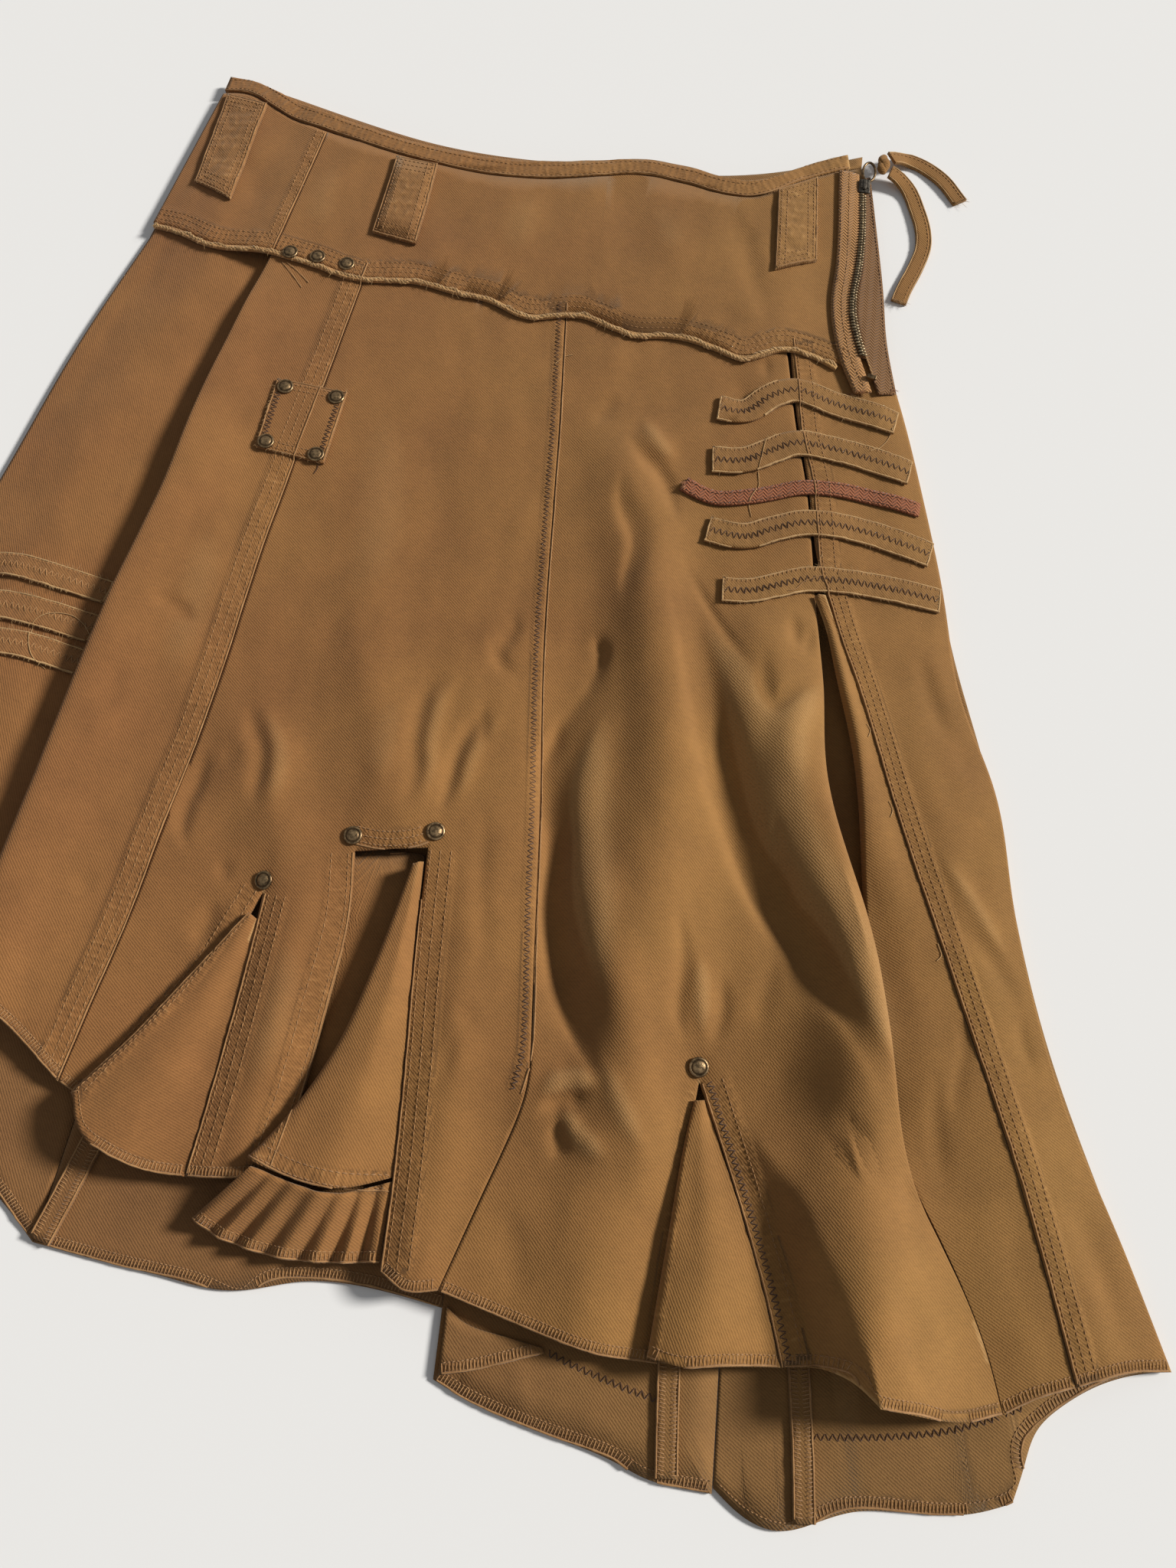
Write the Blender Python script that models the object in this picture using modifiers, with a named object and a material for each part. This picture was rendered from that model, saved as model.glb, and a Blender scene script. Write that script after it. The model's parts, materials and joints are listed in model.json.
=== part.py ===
"""Cargo skirt of cotton twill, laid flat on its back, in metres, +Z up.

+Y points to the waist, +X to the side zip. The back lies on the floor, the front on the back.
Tables are in millimetres, measured from BOX_MIDDLE. A wall is a loft between its outer and inner
face, both worked out from the middle of the cloth, so that two panels that share a seam bend alike
and keep their gap.
"""

import math

import bmesh
import bpy
import numpy as np
from mathutils import Matrix, Vector

MM = 0.001
BOX_MIDDLE = (3.415, -4.255)     # middle of the skirt's box in the tables' millimetres
CLOTH = 1.4            # thickness of the twill walls
BINDING_THICK = 2.2
STRIP_THICK = 1.2
GAP = 0.3              # between pieces that touch
SEAM_INSET = 0.2       # each panel stops this far short of its seam line
SEAM_ROWS = 23         # rows of the front panels, shared so that two panels' seams have the same corners
EDGE_LIFT = CLOTH * 1.5 + GAP    # middle of the front layer where it meets the back at the sides
STEP = CLOTH + GAP + 0.1         # from the middle of a cloth to the middle of one laid on it
LOFT = 6.6             # how much higher the front lies inside the side edges
LOFT_REACH = 70.0      # over this distance from a side edge
LOWEST_FRONT = 5.4     # the front's middle clears the seam allowances by this

COLOURS = {
    "cloth": (0.33, 0.19, 0.08),
    "tape": (0.45, 0.26, 0.12),
    "brass": (0.30, 0.20, 0.09),
    "dark_metal": (0.06, 0.05, 0.04),
}

# Side edges, waist and yoke, as (x, y) points of smooth curves, top or left end first.
LEFT_SIDE = [(-232, 152), (-248, 61), (-261, 5), (-280, -46), (-290, -100), (-305, -152), (-322, -200),
             (-351, -262)]
LEFT_EDGE = [(-196, 352), (-212, 240), *LEFT_SIDE]
RIGHT_SIDE = [(226, 165), (241, 106), (252, 58), (261, 5), (282, -46), (290, -100), (305, -160),
              (318, -197), (336, -234)]
RIGHT_EDGE = [(192, 346), (202, 290), (213, 211), *RIGHT_SIDE, (358, -286)]
WAIST_TOP = [(-194, 356), (-175, 352), (-140, 334), (-80, 315), (-23, 308), (20, 311), (60, 319),
             (90, 317), (115, 311), (136, 314), (160, 332), (182, 343)]
BINDING_LOW = [(-195, 345), (-177, 343), (-143, 323), (-80, 304), (-23, 296), (20, 299), (60, 308),
               (90, 305), (115, 300), (136, 303), (160, 321), (184, 333)]
BACK_WAIST = [(-194, 358), (-165, 352), (-110, 336), (-60, 324), (-10, 320), (40, 322), (95, 322),
              (140, 330), (192, 350)]
YOKE_LOW = [(-212, 240), (-195, 236), (-174, 227), (-154, 226), (-135, 224), (-108, 218), (-84, 212),
            (-52, 215), (-28, 211), (-6, 208), (14, 200), (43, 205), (72, 196), (98, 198), (120, 193),
            (136, 188), (156, 198), (177, 196), (190, 190)]
YOKE_SEAM = [(-124, 315), (-129, 275), (-135, 224)]
YOKE_RIGHT = [(189.5, 331), (191.6, 291), (191.6, 262), (189.6, 236), (190.5, 215), (192, 193)]

RAW_EDGE_WIDTH, RAW_EDGE_THICK, RAW_EDGE_RISE = 2.4, 1.9, 0.45

# Seams and folds of the front, top end first.
LEFT_FOLD = [(-136, 224), (-144, 176), (-152, 120), (-156, 66), (-165, 8), (-171, -43), (-174, -84),
             (-179, -143), (-184, -199)]
SEAM_A = [(-80, 222), (-88, 139), (-93, 89), (-98, 34), (-101, -29), (-104, -70), (-109, -112),
          (-114, -163), (-120, -201), (-126, -237)]
SEAM_B = [(34, 210), (42, 133), (46, 86), (54, -3), (65, -87), (70, -130), (76, -180), (80, -215),
          (72, -240), (55, -297)]
RIGHT_FOLD = [(158, 204), (163, 177), (168, 145), (176, 116), (180, 88), (184, 60), (190, 24), (196, -8),
              (198, -43), (206, -75), (219, -112), (229, -144), (237, -179), (241, -208), (250, -233),
              (268, -262), (282, -290), (288, -311)]
GORE_LEFT = [(188, 52), (195, 24), (201, 0), (209, -24), (214, -54), (217, -84), (220, -108), (225, -140),
             (229, -180), (238, -212), (250.4, -233), (268.4, -262), (282.4, -290), (288.4, -311)]
GORE_TOP = [(186.5, 47.4), (189.5, 47.4)]
GORE_EDGE = 12.0       # the gore's free edge stands this high where the pleat gapes
GORE_TUCKED = 4.2      # and lies this low under the pleat's fold
GORE_TUCK_FROM, GORE_TUCK_OVER = 122.0, 46.0
SEAM_C = [(190, 52), (199, 26), (209, 2), (217, -20), (231, -60), (251, -111), (266, -149), (281, -189),
          (297, -234), (317, -297)]

# Godets: the V of each slit, and the folded left edge that each godet turns towards.
SLIT_LEFT_A = [(-56, -142), (-73, -185), (-92, -217), (-108, -243)]
GODET_LEFT_FOLD = [(-57, -147), (-80, -184), (-99, -216), (-117, -240)]
GODET_LEFT_SEAM = [(-55, -142), (-56, -188), (-58, -234), (-60, -268)]
SLIT_MIDDLE_LEFT = [(-18, -117), (-14, -150), (-16, -192), (-18, -225), (-22, -262)]
GODET_MIDDLE_SEAM = [(15, -111), (19, -161), (24, -210), (28, -256), (30, -293)]
FLAP_FOLD = [(11, -116), (2, -169), (-8, -208), (-26, -245), (-33, -256)]
SLIT_RIGHT_A = [(152, -199), (151, -225), (150, -252), (149, -285), (148, -312)]
GODET_RIGHT_FOLD = [(152, -203), (149, -225), (147, -252), (144, -285), (142, -309)]
GODET_RIGHT_SEAM = [(154, -199), (163, -219), (176, -248), (188, -277), (198, -306)]

# Hems, left end first.
HEM_SIDE_LEFT = [(-351, -262), (-305, -254), (-258, -236), (-205, -212), (-158, -196)]
HEM_FRONT_LEFT = [(-184, -199), (-158, -214), (-146, -222), (-126, -237)]
HEM_SLIT_A = [(-126, -237), (-117, -241), (-108, -243)]
HEM_SLIT_B = [(-60, -268), (-40, -266), (-22, -262)]
HEM_SLIT_C = [(30, -293), (42, -299), (55, -297)]
HEM_RIGHT_A = [(55, -297), (89, -305), (120, -311), (148, -312)]
HEM_RIGHT_B = [(198, -306), (222, -303), (230, -312), (251, -314), (268, -316), (288, -311)]
HEM_GORE = [(288.4, -311), (302, -303), (317, -297)]
HEM_SIDE_RIGHT = [(317, -297), (338, -289), (358, -286)]
HEM_GODET_LEFT = [(-117, -240), (-108, -256), (-92, -264), (-76, -268), (-60, -268)]
HEM_GODET_RIGHT = [(142, -309), (156, -311), (175, -308), (198, -306)]
BAND_LOW = [(-33, -256), (-14, -262), (6, -264), (27.5, -262)]
RUFFLE_HEM = [(-53, -284), (-40, -290), (-15, -294), (8, -293), (28.5, -290)]
RUFFLE_HEM_HEIGHT = 7.4
RUFFLE_WAVES = 6.5
RUFFLE_DEPTH = 2.5
RUFFLE_THICK = 1.2
UNDERLAY_HEIGHT = 3.0
UNDERLAY_TOP = [(-26, -112), (14, -112)]
UNDERLAY_LOW = [(-30, -246), (20, -250)]

# Back panels: their seams and the hem, which shows below the front.
BACK_BINDING_WIDTH = 8.1
BACK_YOKE_LOW = [(-213, 232), (-110, 222), (0, 217), (110, 222), (212, 216)]
BACK_SEAMS = [
    [(-80, 220), (-100, 0), (-112, -180), (-120, -303)],
    [(20, 217), (36, -20), (50, -190), (57, -304)],
    [(120, 222), (150, 0), (168, -190), (176, -354)],
]
BACK_HEM_LEFT = [(-351, -262), (-290, -268), (-220, -268), (-160, -275), (-120, -303)]
BACK_HEM_MIDDLE = [(-120, -303), (-82, -307), (-50, -309), (-28, -313), (-14, -303), (20, -300), (57, -304)]
BACK_HEM_RIGHT = [(58, -331), (77, -338), (104, -344), (133, -349), (148, -355), (176, -356)]
BACK_HEM_SIDE = [(176, -356), (190, -364), (208, -366), (230, -354), (266, -351), (286, -347), (300, -337),
                 (300, -318), (330, -294), (357, -286)]
BACK_FOLD_TOP = [(59, -303), (68, -309), (85, -311), (101, -313)]
BACK_FOLD_LOW = [(60, -329), (75, -325), (91, -319), (102, -315)]
ALLOWANCES = [
    # name, middle line from under the front's hem to the back's hem, width
    ("seam_allowance_left", [(-100, -236), (-108, -268), (-117, -302)], 10.0),
    ("seam_allowance_centre", [(152, -290), (154, -320), (157, -353)], 9.5),
    ("seam_allowance_right", [(203, -284), (209, -325), (213, -361)], 9.0),
]

# Soft folds of the front, raised on or sunk into the loft.
RIDGES = [
    # middle line, height, reach across
    ([(-144, 176), (-152, 120), (-160, 40), (-170, -60), (-178, -199)], 8.5, 26.0),
    ([(164, 14), (173, -18), (187, -57), (205, -97), (220, -135), (228, -185)], 14.0, 19.0),
    ([(206, -165), (223, -207), (224, -232), (230, -264), (238, -314)], 13.0, 21.0),
    ([(78, 110), (106, 32), (119, -20), (122, -65), (120, -107), (124, -150)], 10.0, 21.0),
    ([(96, -123), (109, -159), (122, -194), (132, -226)], 8.0, 13.0),
    ([(85, -213), (108, -209), (114, -232)], 6.0, 11.0),
    ([(110, -250), (118, -280), (120, -312)], 5.0, 20.0),
    ([(-40, 20), (-24, -40), (0, -96)], 3.5, 16.0),
    ([(-80, -60), (-64, -100), (-40, -150), (-38, -262)], 4.0, 13.0),
    ([(38, -120), (44, -200), (44, -296)], 4.5, 12.0),
    ([(232, 90), (248, 0), (272, -110), (306, -230), (334, -286)], 4.0, 15.0),
]
VALLEYS = [
    # middle line, depth, reach across
    ([(119, 57), (128, 14), (141, -25), (157, -57), (174, -88), (191, -121), (200, -150)], 4.5, 12.0),
    ([(90, 60), (74, 7), (66, -47), (76, -90), (84, -142), (99, -184)], 4.0, 11.0),
    ([(188, -252), (204, -286), (210, -308)], 3.5, 9.0),
    ([(-58, -146), (-90, -200), (-118, -245)], 3.6, 20.0),
    ([(152, -205), (148, -260), (144, -312)], 5.0, 11.0),
    ([(250, -222), (262, -254), (280, -286), (290, -312)], 3.0, 12.0),
    ([(-16, -128), (-16, -190), (-24, -262)], 2.4, 14.0),
]
BANKS = [
    # line of the foot, height, run of the steep side to its right, reach of the slope beyond
    ([(170, -215), (186, -246), (203, -268), (214, -287), (224, -316)], 10.0, 8.0, 42.0),
]

# Turned edges. Each row: share of the way down, radius, angle in degrees, flat length past the turn.
LEFT_PLEAT_TURN = [(0.0, 1.0, 180, 8.0), (0.22, 1.3, 180, 12.0), (0.4, 3.0, 180, 16.0), (1.0, 4.4, 180, 22.0)]
RIGHT_PLEAT_TURN = [(0.0, 1.1, 180, 6.0), (0.27, 1.2, 180, 6.0), (0.38, 3.4, 180, 8.0),
                    (0.55, 5.8, 178, 10.0), (0.72, 5.6, 172, 6.0), (0.80, 2.2, 120, 2.0),
                    (0.88, 1.2, 24, 0.8), (1.0, 1.2, 12, 0.6)]
GORE_TURN = [(0.0, 1.2, 70, 1.0), (0.2, 2.4, 90, 2.0), (0.5, 1.4, 60, 1.0), (0.66, 1.0, 14, 0.5),
             (1.0, 1.0, 8, 0.4)]
GODET_TURN = [(0.0, 0.9, 180, 2.0), (0.4, 2.2, 180, 6.0), (1.0, 4.4, 178, 13.0)]
FLAP_TURN = [(0.0, 0.9, 180, 1.5), (0.5, 2.6, 180, 7.0), (1.0, 3.6, 180, 12.0)]
SLIT_TURN = [(0.0, 0.9, 40, 0.6), (1.0, 1.6, 60, 1.4)]
TURN_STEPS = 4

# Hip strips on the right: middle line and width. They run from the front panel to the side edge.
HIP_STRIPS = [
    ([(125, 153), (140, 153), (152, 164), (166, 171), (184, 167), (221, 160)], 15.5),
    ([(125, 120), (142, 122), (156, 130), (170, 137), (196, 136), (230, 130)], 15.5),
    ([(112, 103), (126, 97), (142, 99), (158, 104), (174, 110), (200, 112), (236, 108)], 8.5),
    ([(127, 78), (146, 76), (162, 83), (180, 89), (208, 89), (243, 82)], 15.0),
    ([(138, 44), (152, 45), (166, 50), (182, 56), (210, 58), (249, 56)], 14.0),
]
STRIP_RISE = 0.25      # the right strips cross the pleat's fold
LEFT_STRIPS = [
    ([(-250, 6), (-226, 10), (-196, 6), (-171, 2)], 13.0),
    ([(-255, -16), (-224, -13), (-200, -15), (-173, -19)], 15.5),
    ([(-260, -36), (-218, -33), (-198, -34), (-174, -38)], 14.0),
]

BELT_LOOPS = [
    # corners: top left, top right, bottom right, bottom left
    [(-192, 341), (-165, 333), (-169, 258), (-194, 271)],
    [(-79, 300), (-54, 297), (-56, 238), (-82, 243)],
    [(144, 307), (166, 322), (170, 261), (147, 249)],
]
LOOP_LIFT = 2.05
LOOP_THICK = 1.8
SQUARE_PATCH = [(-113, 138), (-74, 135), (-77, 89), (-115, 94)]

RIVET_RADIUS = 4.5
RIVET_HEIGHT = 1.7
RIVET_EDGE, RIVET_CROWN = 0.5, 3.0     # height of the head's side, and how wide its flat top is
ON_BEAD, ON_YOKE, ON_PANEL, ON_PATCH = 1.75, 1.0, 1.25, 2.8
RIVETS = [
    # name, x, y, how far its back lies above the middle of the panel or yoke
    ("rivet_yoke_1", -125, 222.5, ON_BEAD),
    ("rivet_yoke_2", -109, 221.5, ON_BEAD),
    ("rivet_yoke_3", -92, 219.5, ON_YOKE),
    ("rivet_patch_1", -107.5, 133, ON_PATCH),
    ("rivet_patch_2", -79, 130.5, ON_PATCH),
    ("rivet_patch_3", -82, 93.5, ON_PATCH),
    ("rivet_patch_4", -110, 97.5, ON_PATCH),
    ("rivet_godet_left", -56, -136, ON_PANEL),
    ("rivet_godet_middle_1", -20, -109, 0.95),
    ("rivet_godet_middle_2", 18, -102, 1.15),
    ("rivet_godet_right", 152, -192, 1.05),
]

# Side zip, sewn on the outside at the right. Lines run from the waist down.
TAPE_FRONT_LEFT = [(178, 329), (181, 268), (180, 232), (186, 200), (197, 174)]
ZIP_LINE = [(192, 330), (194, 291), (194, 262), (192, 236), (195, 214), (208, 176)]
TAPE_BACK_RIGHT = [(197, 331), (203.5, 288), (209, 250), (213, 214), (220, 180)]
TAPE_THICK = 1.2
CHAIN_WIDTH = 3.4
CHAIN_HEIGHT = 2.0
CHAIN_FROM, CHAIN_TO = 2, 18     # rows of the zip that the chain covers
SLIDER_AT = (192.4, 320.0)
SLIDER_SIZE = (7.0, 10.0, 2.6)
SLIDER_LIFT = 4.05
RING_AT = (195.8, 333.3)
RING_HALF = (3.6, 7.2)
RING_WIRE = 0.75
RING_HEIGHT = 6.8
STOP_AT = (205.2, 184.4)
STOP_SIZE = (5.4, 3.0, 1.8)
STOP_LIFT = 3.75

# Ties: flat strips of the skirt's cloth, from the knot past the ring pull. Columns x, y, z of the middle.
TIE_WIDTH = 9.0
TIE_THICK = 1.6
TIE_UPPER = [(208.2, 346.4, 6.6), (213, 349, 4.6), (220, 351, 1.7), (229, 348, 0.8), (241, 338, 0.8),
             (251, 324, 0.8)]
TIE_LOWER = [(208.15, 335.8, 6.4), (214.5, 333.5, 3.8), (221, 327.5, 1.4), (226, 315, 0.8), (230, 301, 0.8),
             (231, 287, 0.8), (227, 271, 0.8), (222, 257, 0.8), (219, 246, 0.8)]
KNOT_AT = (203.85, 340.6, 6.6)
KNOT_SIZE = (7.0, 15.0, 4.6)

SKIRT = bpy.data.collections.new("cargo_skirt")


def clear_scene():
    for obj in list(bpy.data.objects):
        bpy.data.objects.remove(obj, do_unlink=True)


def material(name, metallic=0.0, roughness=0.85):
    made = bpy.data.materials.new(name)
    made.use_nodes = True
    shader = made.node_tree.nodes["Principled BSDF"]
    colour = COLOURS[name]
    shader.inputs["Base Color"].default_value = (*colour, 1.0)
    shader.inputs["Metallic"].default_value = metallic
    shader.inputs["Roughness"].default_value = roughness
    made.diffuse_color = (*colour, 1.0)
    return made


def add_object(name, mesh, finish):
    obj = bpy.data.objects.new(name, mesh)
    SKIRT.objects.link(obj)
    mesh.materials.append(finish.copy())
    obj.parent = bpy.data.objects["box_middle"]
    return obj


def curve(points, count, start=0.0, end=1.0):
    """Points at equal steps along the smooth curve through the given ones, from share start to share end."""
    held = np.asarray(points, float)
    chain = np.vstack([2 * held[0] - held[1], held, 2 * held[-1] - held[-2]])
    fine = [held[0]]
    for i in range(1, len(chain) - 2):
        a, b, c, d = chain[i - 1 : i + 3]
        for t in np.linspace(0, 1, 17)[1:]:
            fine.append(0.5 * (2 * b + (c - a) * t + (2 * a - 5 * b + 4 * c - d) * t * t
                               + (3 * b - 3 * c + d - a) * t ** 3))
    fine = np.array(fine)
    along = np.concatenate([[0], np.cumsum(np.linalg.norm(np.diff(fine, axis=0), axis=1))])
    wanted = np.linspace(start, end, count) * along[-1]
    return np.stack([np.interp(wanted, along, fine[:, k]) for k in range(held.shape[1])], axis=1)


def table(rows, shares):
    """Each column of a table whose first column is the share of the way, read at the given shares."""
    values = np.array(rows, float)
    return [np.interp(shares, values[:, 0], values[:, k]) for k in range(1, values.shape[1])]


def smoothstep(t):
    t = np.clip(t, 0, 1)
    return t * t * (3 - 2 * t)


def edge_x(edge, y):
    points = curve(edge, 60)[::-1]
    return np.interp(y, points[:, 1], points[:, 0])


def distance_to(line, x, y):
    """Distance to a polyline and the share of the way along it, at each point."""
    best = np.full(np.shape(x), 1e9)
    share = np.zeros(np.shape(x))
    fine = curve(line, 12)
    for k in range(len(fine) - 1):
        start, way = fine[k], fine[k + 1] - fine[k]
        t = np.clip(((x - start[0]) * way[0] + (y - start[1]) * way[1]) / (way @ way), 0, 1)
        off = np.hypot(x - start[0] - t * way[0], y - start[1] - t * way[1])
        share = np.where(off < best, (k + t) / (len(fine) - 1), share)
        best = np.minimum(best, off)
    return best, share


def fold_height(rows, x, y):
    total = np.zeros(np.shape(x))
    for line, height, reach in rows:
        off, share = distance_to(line, x, y)
        total += height * np.exp(-((off / reach) ** 2)) * (0.55 + 0.45 * smoothstep(share / 0.35))
    return total


def bank_height(rows, x, y):
    """A steep side along a line, with a long slope away to its right."""
    total = np.zeros(np.shape(x))
    for line, height, run, reach in rows:
        off, share = distance_to(line, x, y)
        foot = edge_x(line, y)
        right = np.where(x > foot, off, 0.0)
        rise = smoothstep(right / run) * np.exp(-((right / reach) ** 2))
        total += height * rise * smoothstep(share / 0.3)
    return total


def front_height(x, y):
    """Middle of the front layer above the floor."""
    x, y = np.asarray(x, float), np.asarray(y, float)
    inside = np.minimum(x - edge_x(LEFT_EDGE, y), edge_x(RIGHT_EDGE, y) - x)
    loft = LOFT * smoothstep(inside / LOFT_REACH)
    folds = fold_height(RIDGES, x, y) - fold_height(VALLEYS, x, y) + bank_height(BANKS, x, y)
    height = EDGE_LIFT + loft + folds * smoothstep(inside / 30)
    floor = EDGE_LIFT + (LOWEST_FRONT - EDGE_LIFT) * smoothstep(inside / 14)
    return np.maximum(height, floor)


def side_height(x, y):
    """Middle of the left side panel, which goes under the front left panel's fold."""
    x, y = np.asarray(x, float), np.asarray(y, float)
    inside = x - edge_x(LEFT_EDGE, y)
    under = smoothstep((x - edge_x(LEFT_FOLD, y) + 34) / 26)
    return EDGE_LIFT + 3.4 * smoothstep(inside / 40) * (1 - under) + 0.5 * under


def yoke_height(x, y):
    """Middle of the yoke: one step above the panels, lower to the left of the pleat."""
    x, y = np.asarray(x, float), np.asarray(y, float)
    inside = np.minimum(x - edge_x(LEFT_EDGE, y), edge_x(RIGHT_EDGE, y) - x)
    over_side = EDGE_LIFT + STEP + 3.8 * smoothstep(inside / 40)
    over_front = front_height(x, y) + STEP
    share = smoothstep((x - edge_x([(p[0], p[1] + 2) for p in YOKE_SEAM], y) + 26) / 22)
    return over_side * (1 - share) + over_front * share


def back_height(x, y):
    return np.full(np.shape(x), CLOTH / 2)


def surface(height, xy, lift=0.0):
    """Points on a height and the directions square to it."""
    x, y = xy[..., 0], xy[..., 1]
    step = 0.5
    slope_x = (height(x + step, y) - height(x - step, y)) / (2 * step)
    slope_y = (height(x, y + step) - height(x, y - step)) / (2 * step)
    out = np.stack([-slope_x, -slope_y, np.ones_like(slope_x)], axis=-1)
    out /= np.linalg.norm(out, axis=-1, keepdims=True)
    return np.stack([x, y, height(x, y) + lift], axis=-1), out


def between(top, bottom, left, right):
    """A grid of (x, y) whose four edges are the given rows of points (a Coons patch)."""
    u = np.linspace(0, 1, len(top))[None, :, None]
    v = np.linspace(0, 1, len(left))[:, None, None]
    across = (1 - u) * left[:, None] + u * right[:, None]
    down = (1 - v) * top[None] + v * bottom[None]
    corners = ((1 - u) * (1 - v) * top[0] + u * (1 - v) * top[-1]
               + (1 - u) * v * bottom[0] + u * v * bottom[-1])
    return across + down - corners


def sideways(line):
    """Unit vectors to the right of a line that runs down the skirt, in the floor's plane."""
    way = np.gradient(line, axis=0)
    way /= np.linalg.norm(way, axis=1, keepdims=True)
    return np.stack([-way[:, 1], way[:, 0]], axis=1)


def inset(line, distance):
    return line + sideways(line) * distance


def with_turn(points, out, side, rows):
    """Columns that roll an edge of a grid under. side is -1 for its left edge and 1 for its right edge."""
    edge = points[:, -1] if side > 0 else points[:, 0]
    up = out[:, -1] if side > 0 else out[:, 0]
    shares = np.linspace(0, 1, len(edge))
    radius, angle, length = table(rows, shares)
    flat = np.zeros_like(edge)
    flat[:, :2] = sideways(edge[:, :2]) * side
    ahead = flat - up * np.sum(flat * up, axis=1, keepdims=True)
    ahead /= np.linalg.norm(ahead, axis=1, keepdims=True)
    new_points, new_out = [], []
    for k in range(1, TURN_STEPS + 1):
        turn = np.radians(angle) * k / TURN_STEPS
        sin, cos = np.sin(turn)[:, None], np.cos(turn)[:, None]
        new_points.append(edge + radius[:, None] * (sin * ahead - (1 - cos) * up))
        new_out.append(cos * up + sin * ahead)
    on = np.cos(np.radians(angle))[:, None] * ahead - np.sin(np.radians(angle))[:, None] * up
    new_points.append(new_points[-1] + on * length[:, None])
    new_out.append(new_out[-1])
    new_points, new_out = np.stack(new_points, axis=1), np.stack(new_out, axis=1)
    if side > 0:
        return np.concatenate([points, new_points], axis=1), np.concatenate([out, new_out], axis=1)
    return (np.concatenate([new_points[:, ::-1], points], axis=1),
            np.concatenate([new_out[:, ::-1], out], axis=1))


def wall(name, grids, finish, thick=CLOTH, centre=0.0):
    """One closed wall from grids of middle points and their directions; shared edges are joined."""
    numbers, middles, outs, faces = {}, [], [], []
    for points, out in grids:
        ids = np.empty(points.shape[:2], int)
        for i, j in np.ndindex(ids.shape):
            key = tuple(np.round(points[i, j], 3))
            if key not in numbers:
                numbers[key] = len(middles)
                middles.append(points[i, j])
                outs.append(out[i, j])
            ids[i, j] = numbers[key]
        for i, j in np.ndindex(ids.shape[0] - 1, ids.shape[1] - 1):
            faces.append((ids[i, j], ids[i + 1, j], ids[i + 1, j + 1], ids[i, j + 1]))
    middles, outs = np.array(middles), np.array(outs)
    outer = middles + outs * (centre + thick / 2)
    inner = middles + outs * (centre - thick / 2)
    count = len(middles)
    ways = {(face[k], face[(k + 1) % 4]) for face in faces for k in range(4)}
    rims = [(b, a, a + count, b + count) for a, b in ways if (b, a) not in ways]
    mesh = bpy.data.meshes.new(name)
    bm = bmesh.new()
    verts = [bm.verts.new(Vector(p) * MM) for p in np.vstack([outer, inner])]
    for face in faces:
        bm.faces.new([verts[k] for k in face])
        bm.faces.new([verts[k + count] for k in reversed(face)])
    for rim in sorted(rims):
        bm.faces.new([verts[k] for k in rim])
    bm.to_mesh(mesh)
    bm.free()
    mesh.shade_smooth()
    mesh.set_sharp_from_angle(angle=math.radians(50))
    return add_object(name, mesh, finish)


def panel(height, top, bottom, left, right, lift=0.0):
    return surface(height, between(top, bottom, left, right), lift)


def chained(*parts):
    """Rows of points end to end, each joint kept once."""
    joined = [parts[0]]
    for part in parts[1:]:
        joined.append(part[1:])
    return np.vstack(joined)


def ribbon(height, line, width, columns, rows, lift=0.0):
    """A strip along a line that runs from left to right."""
    middle = curve(line, columns)
    across = sideways(middle)
    grid = np.stack([middle - across * width * (k / rows - 0.5) for k in range(rows + 1)])
    return surface(height, grid, lift)


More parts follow.
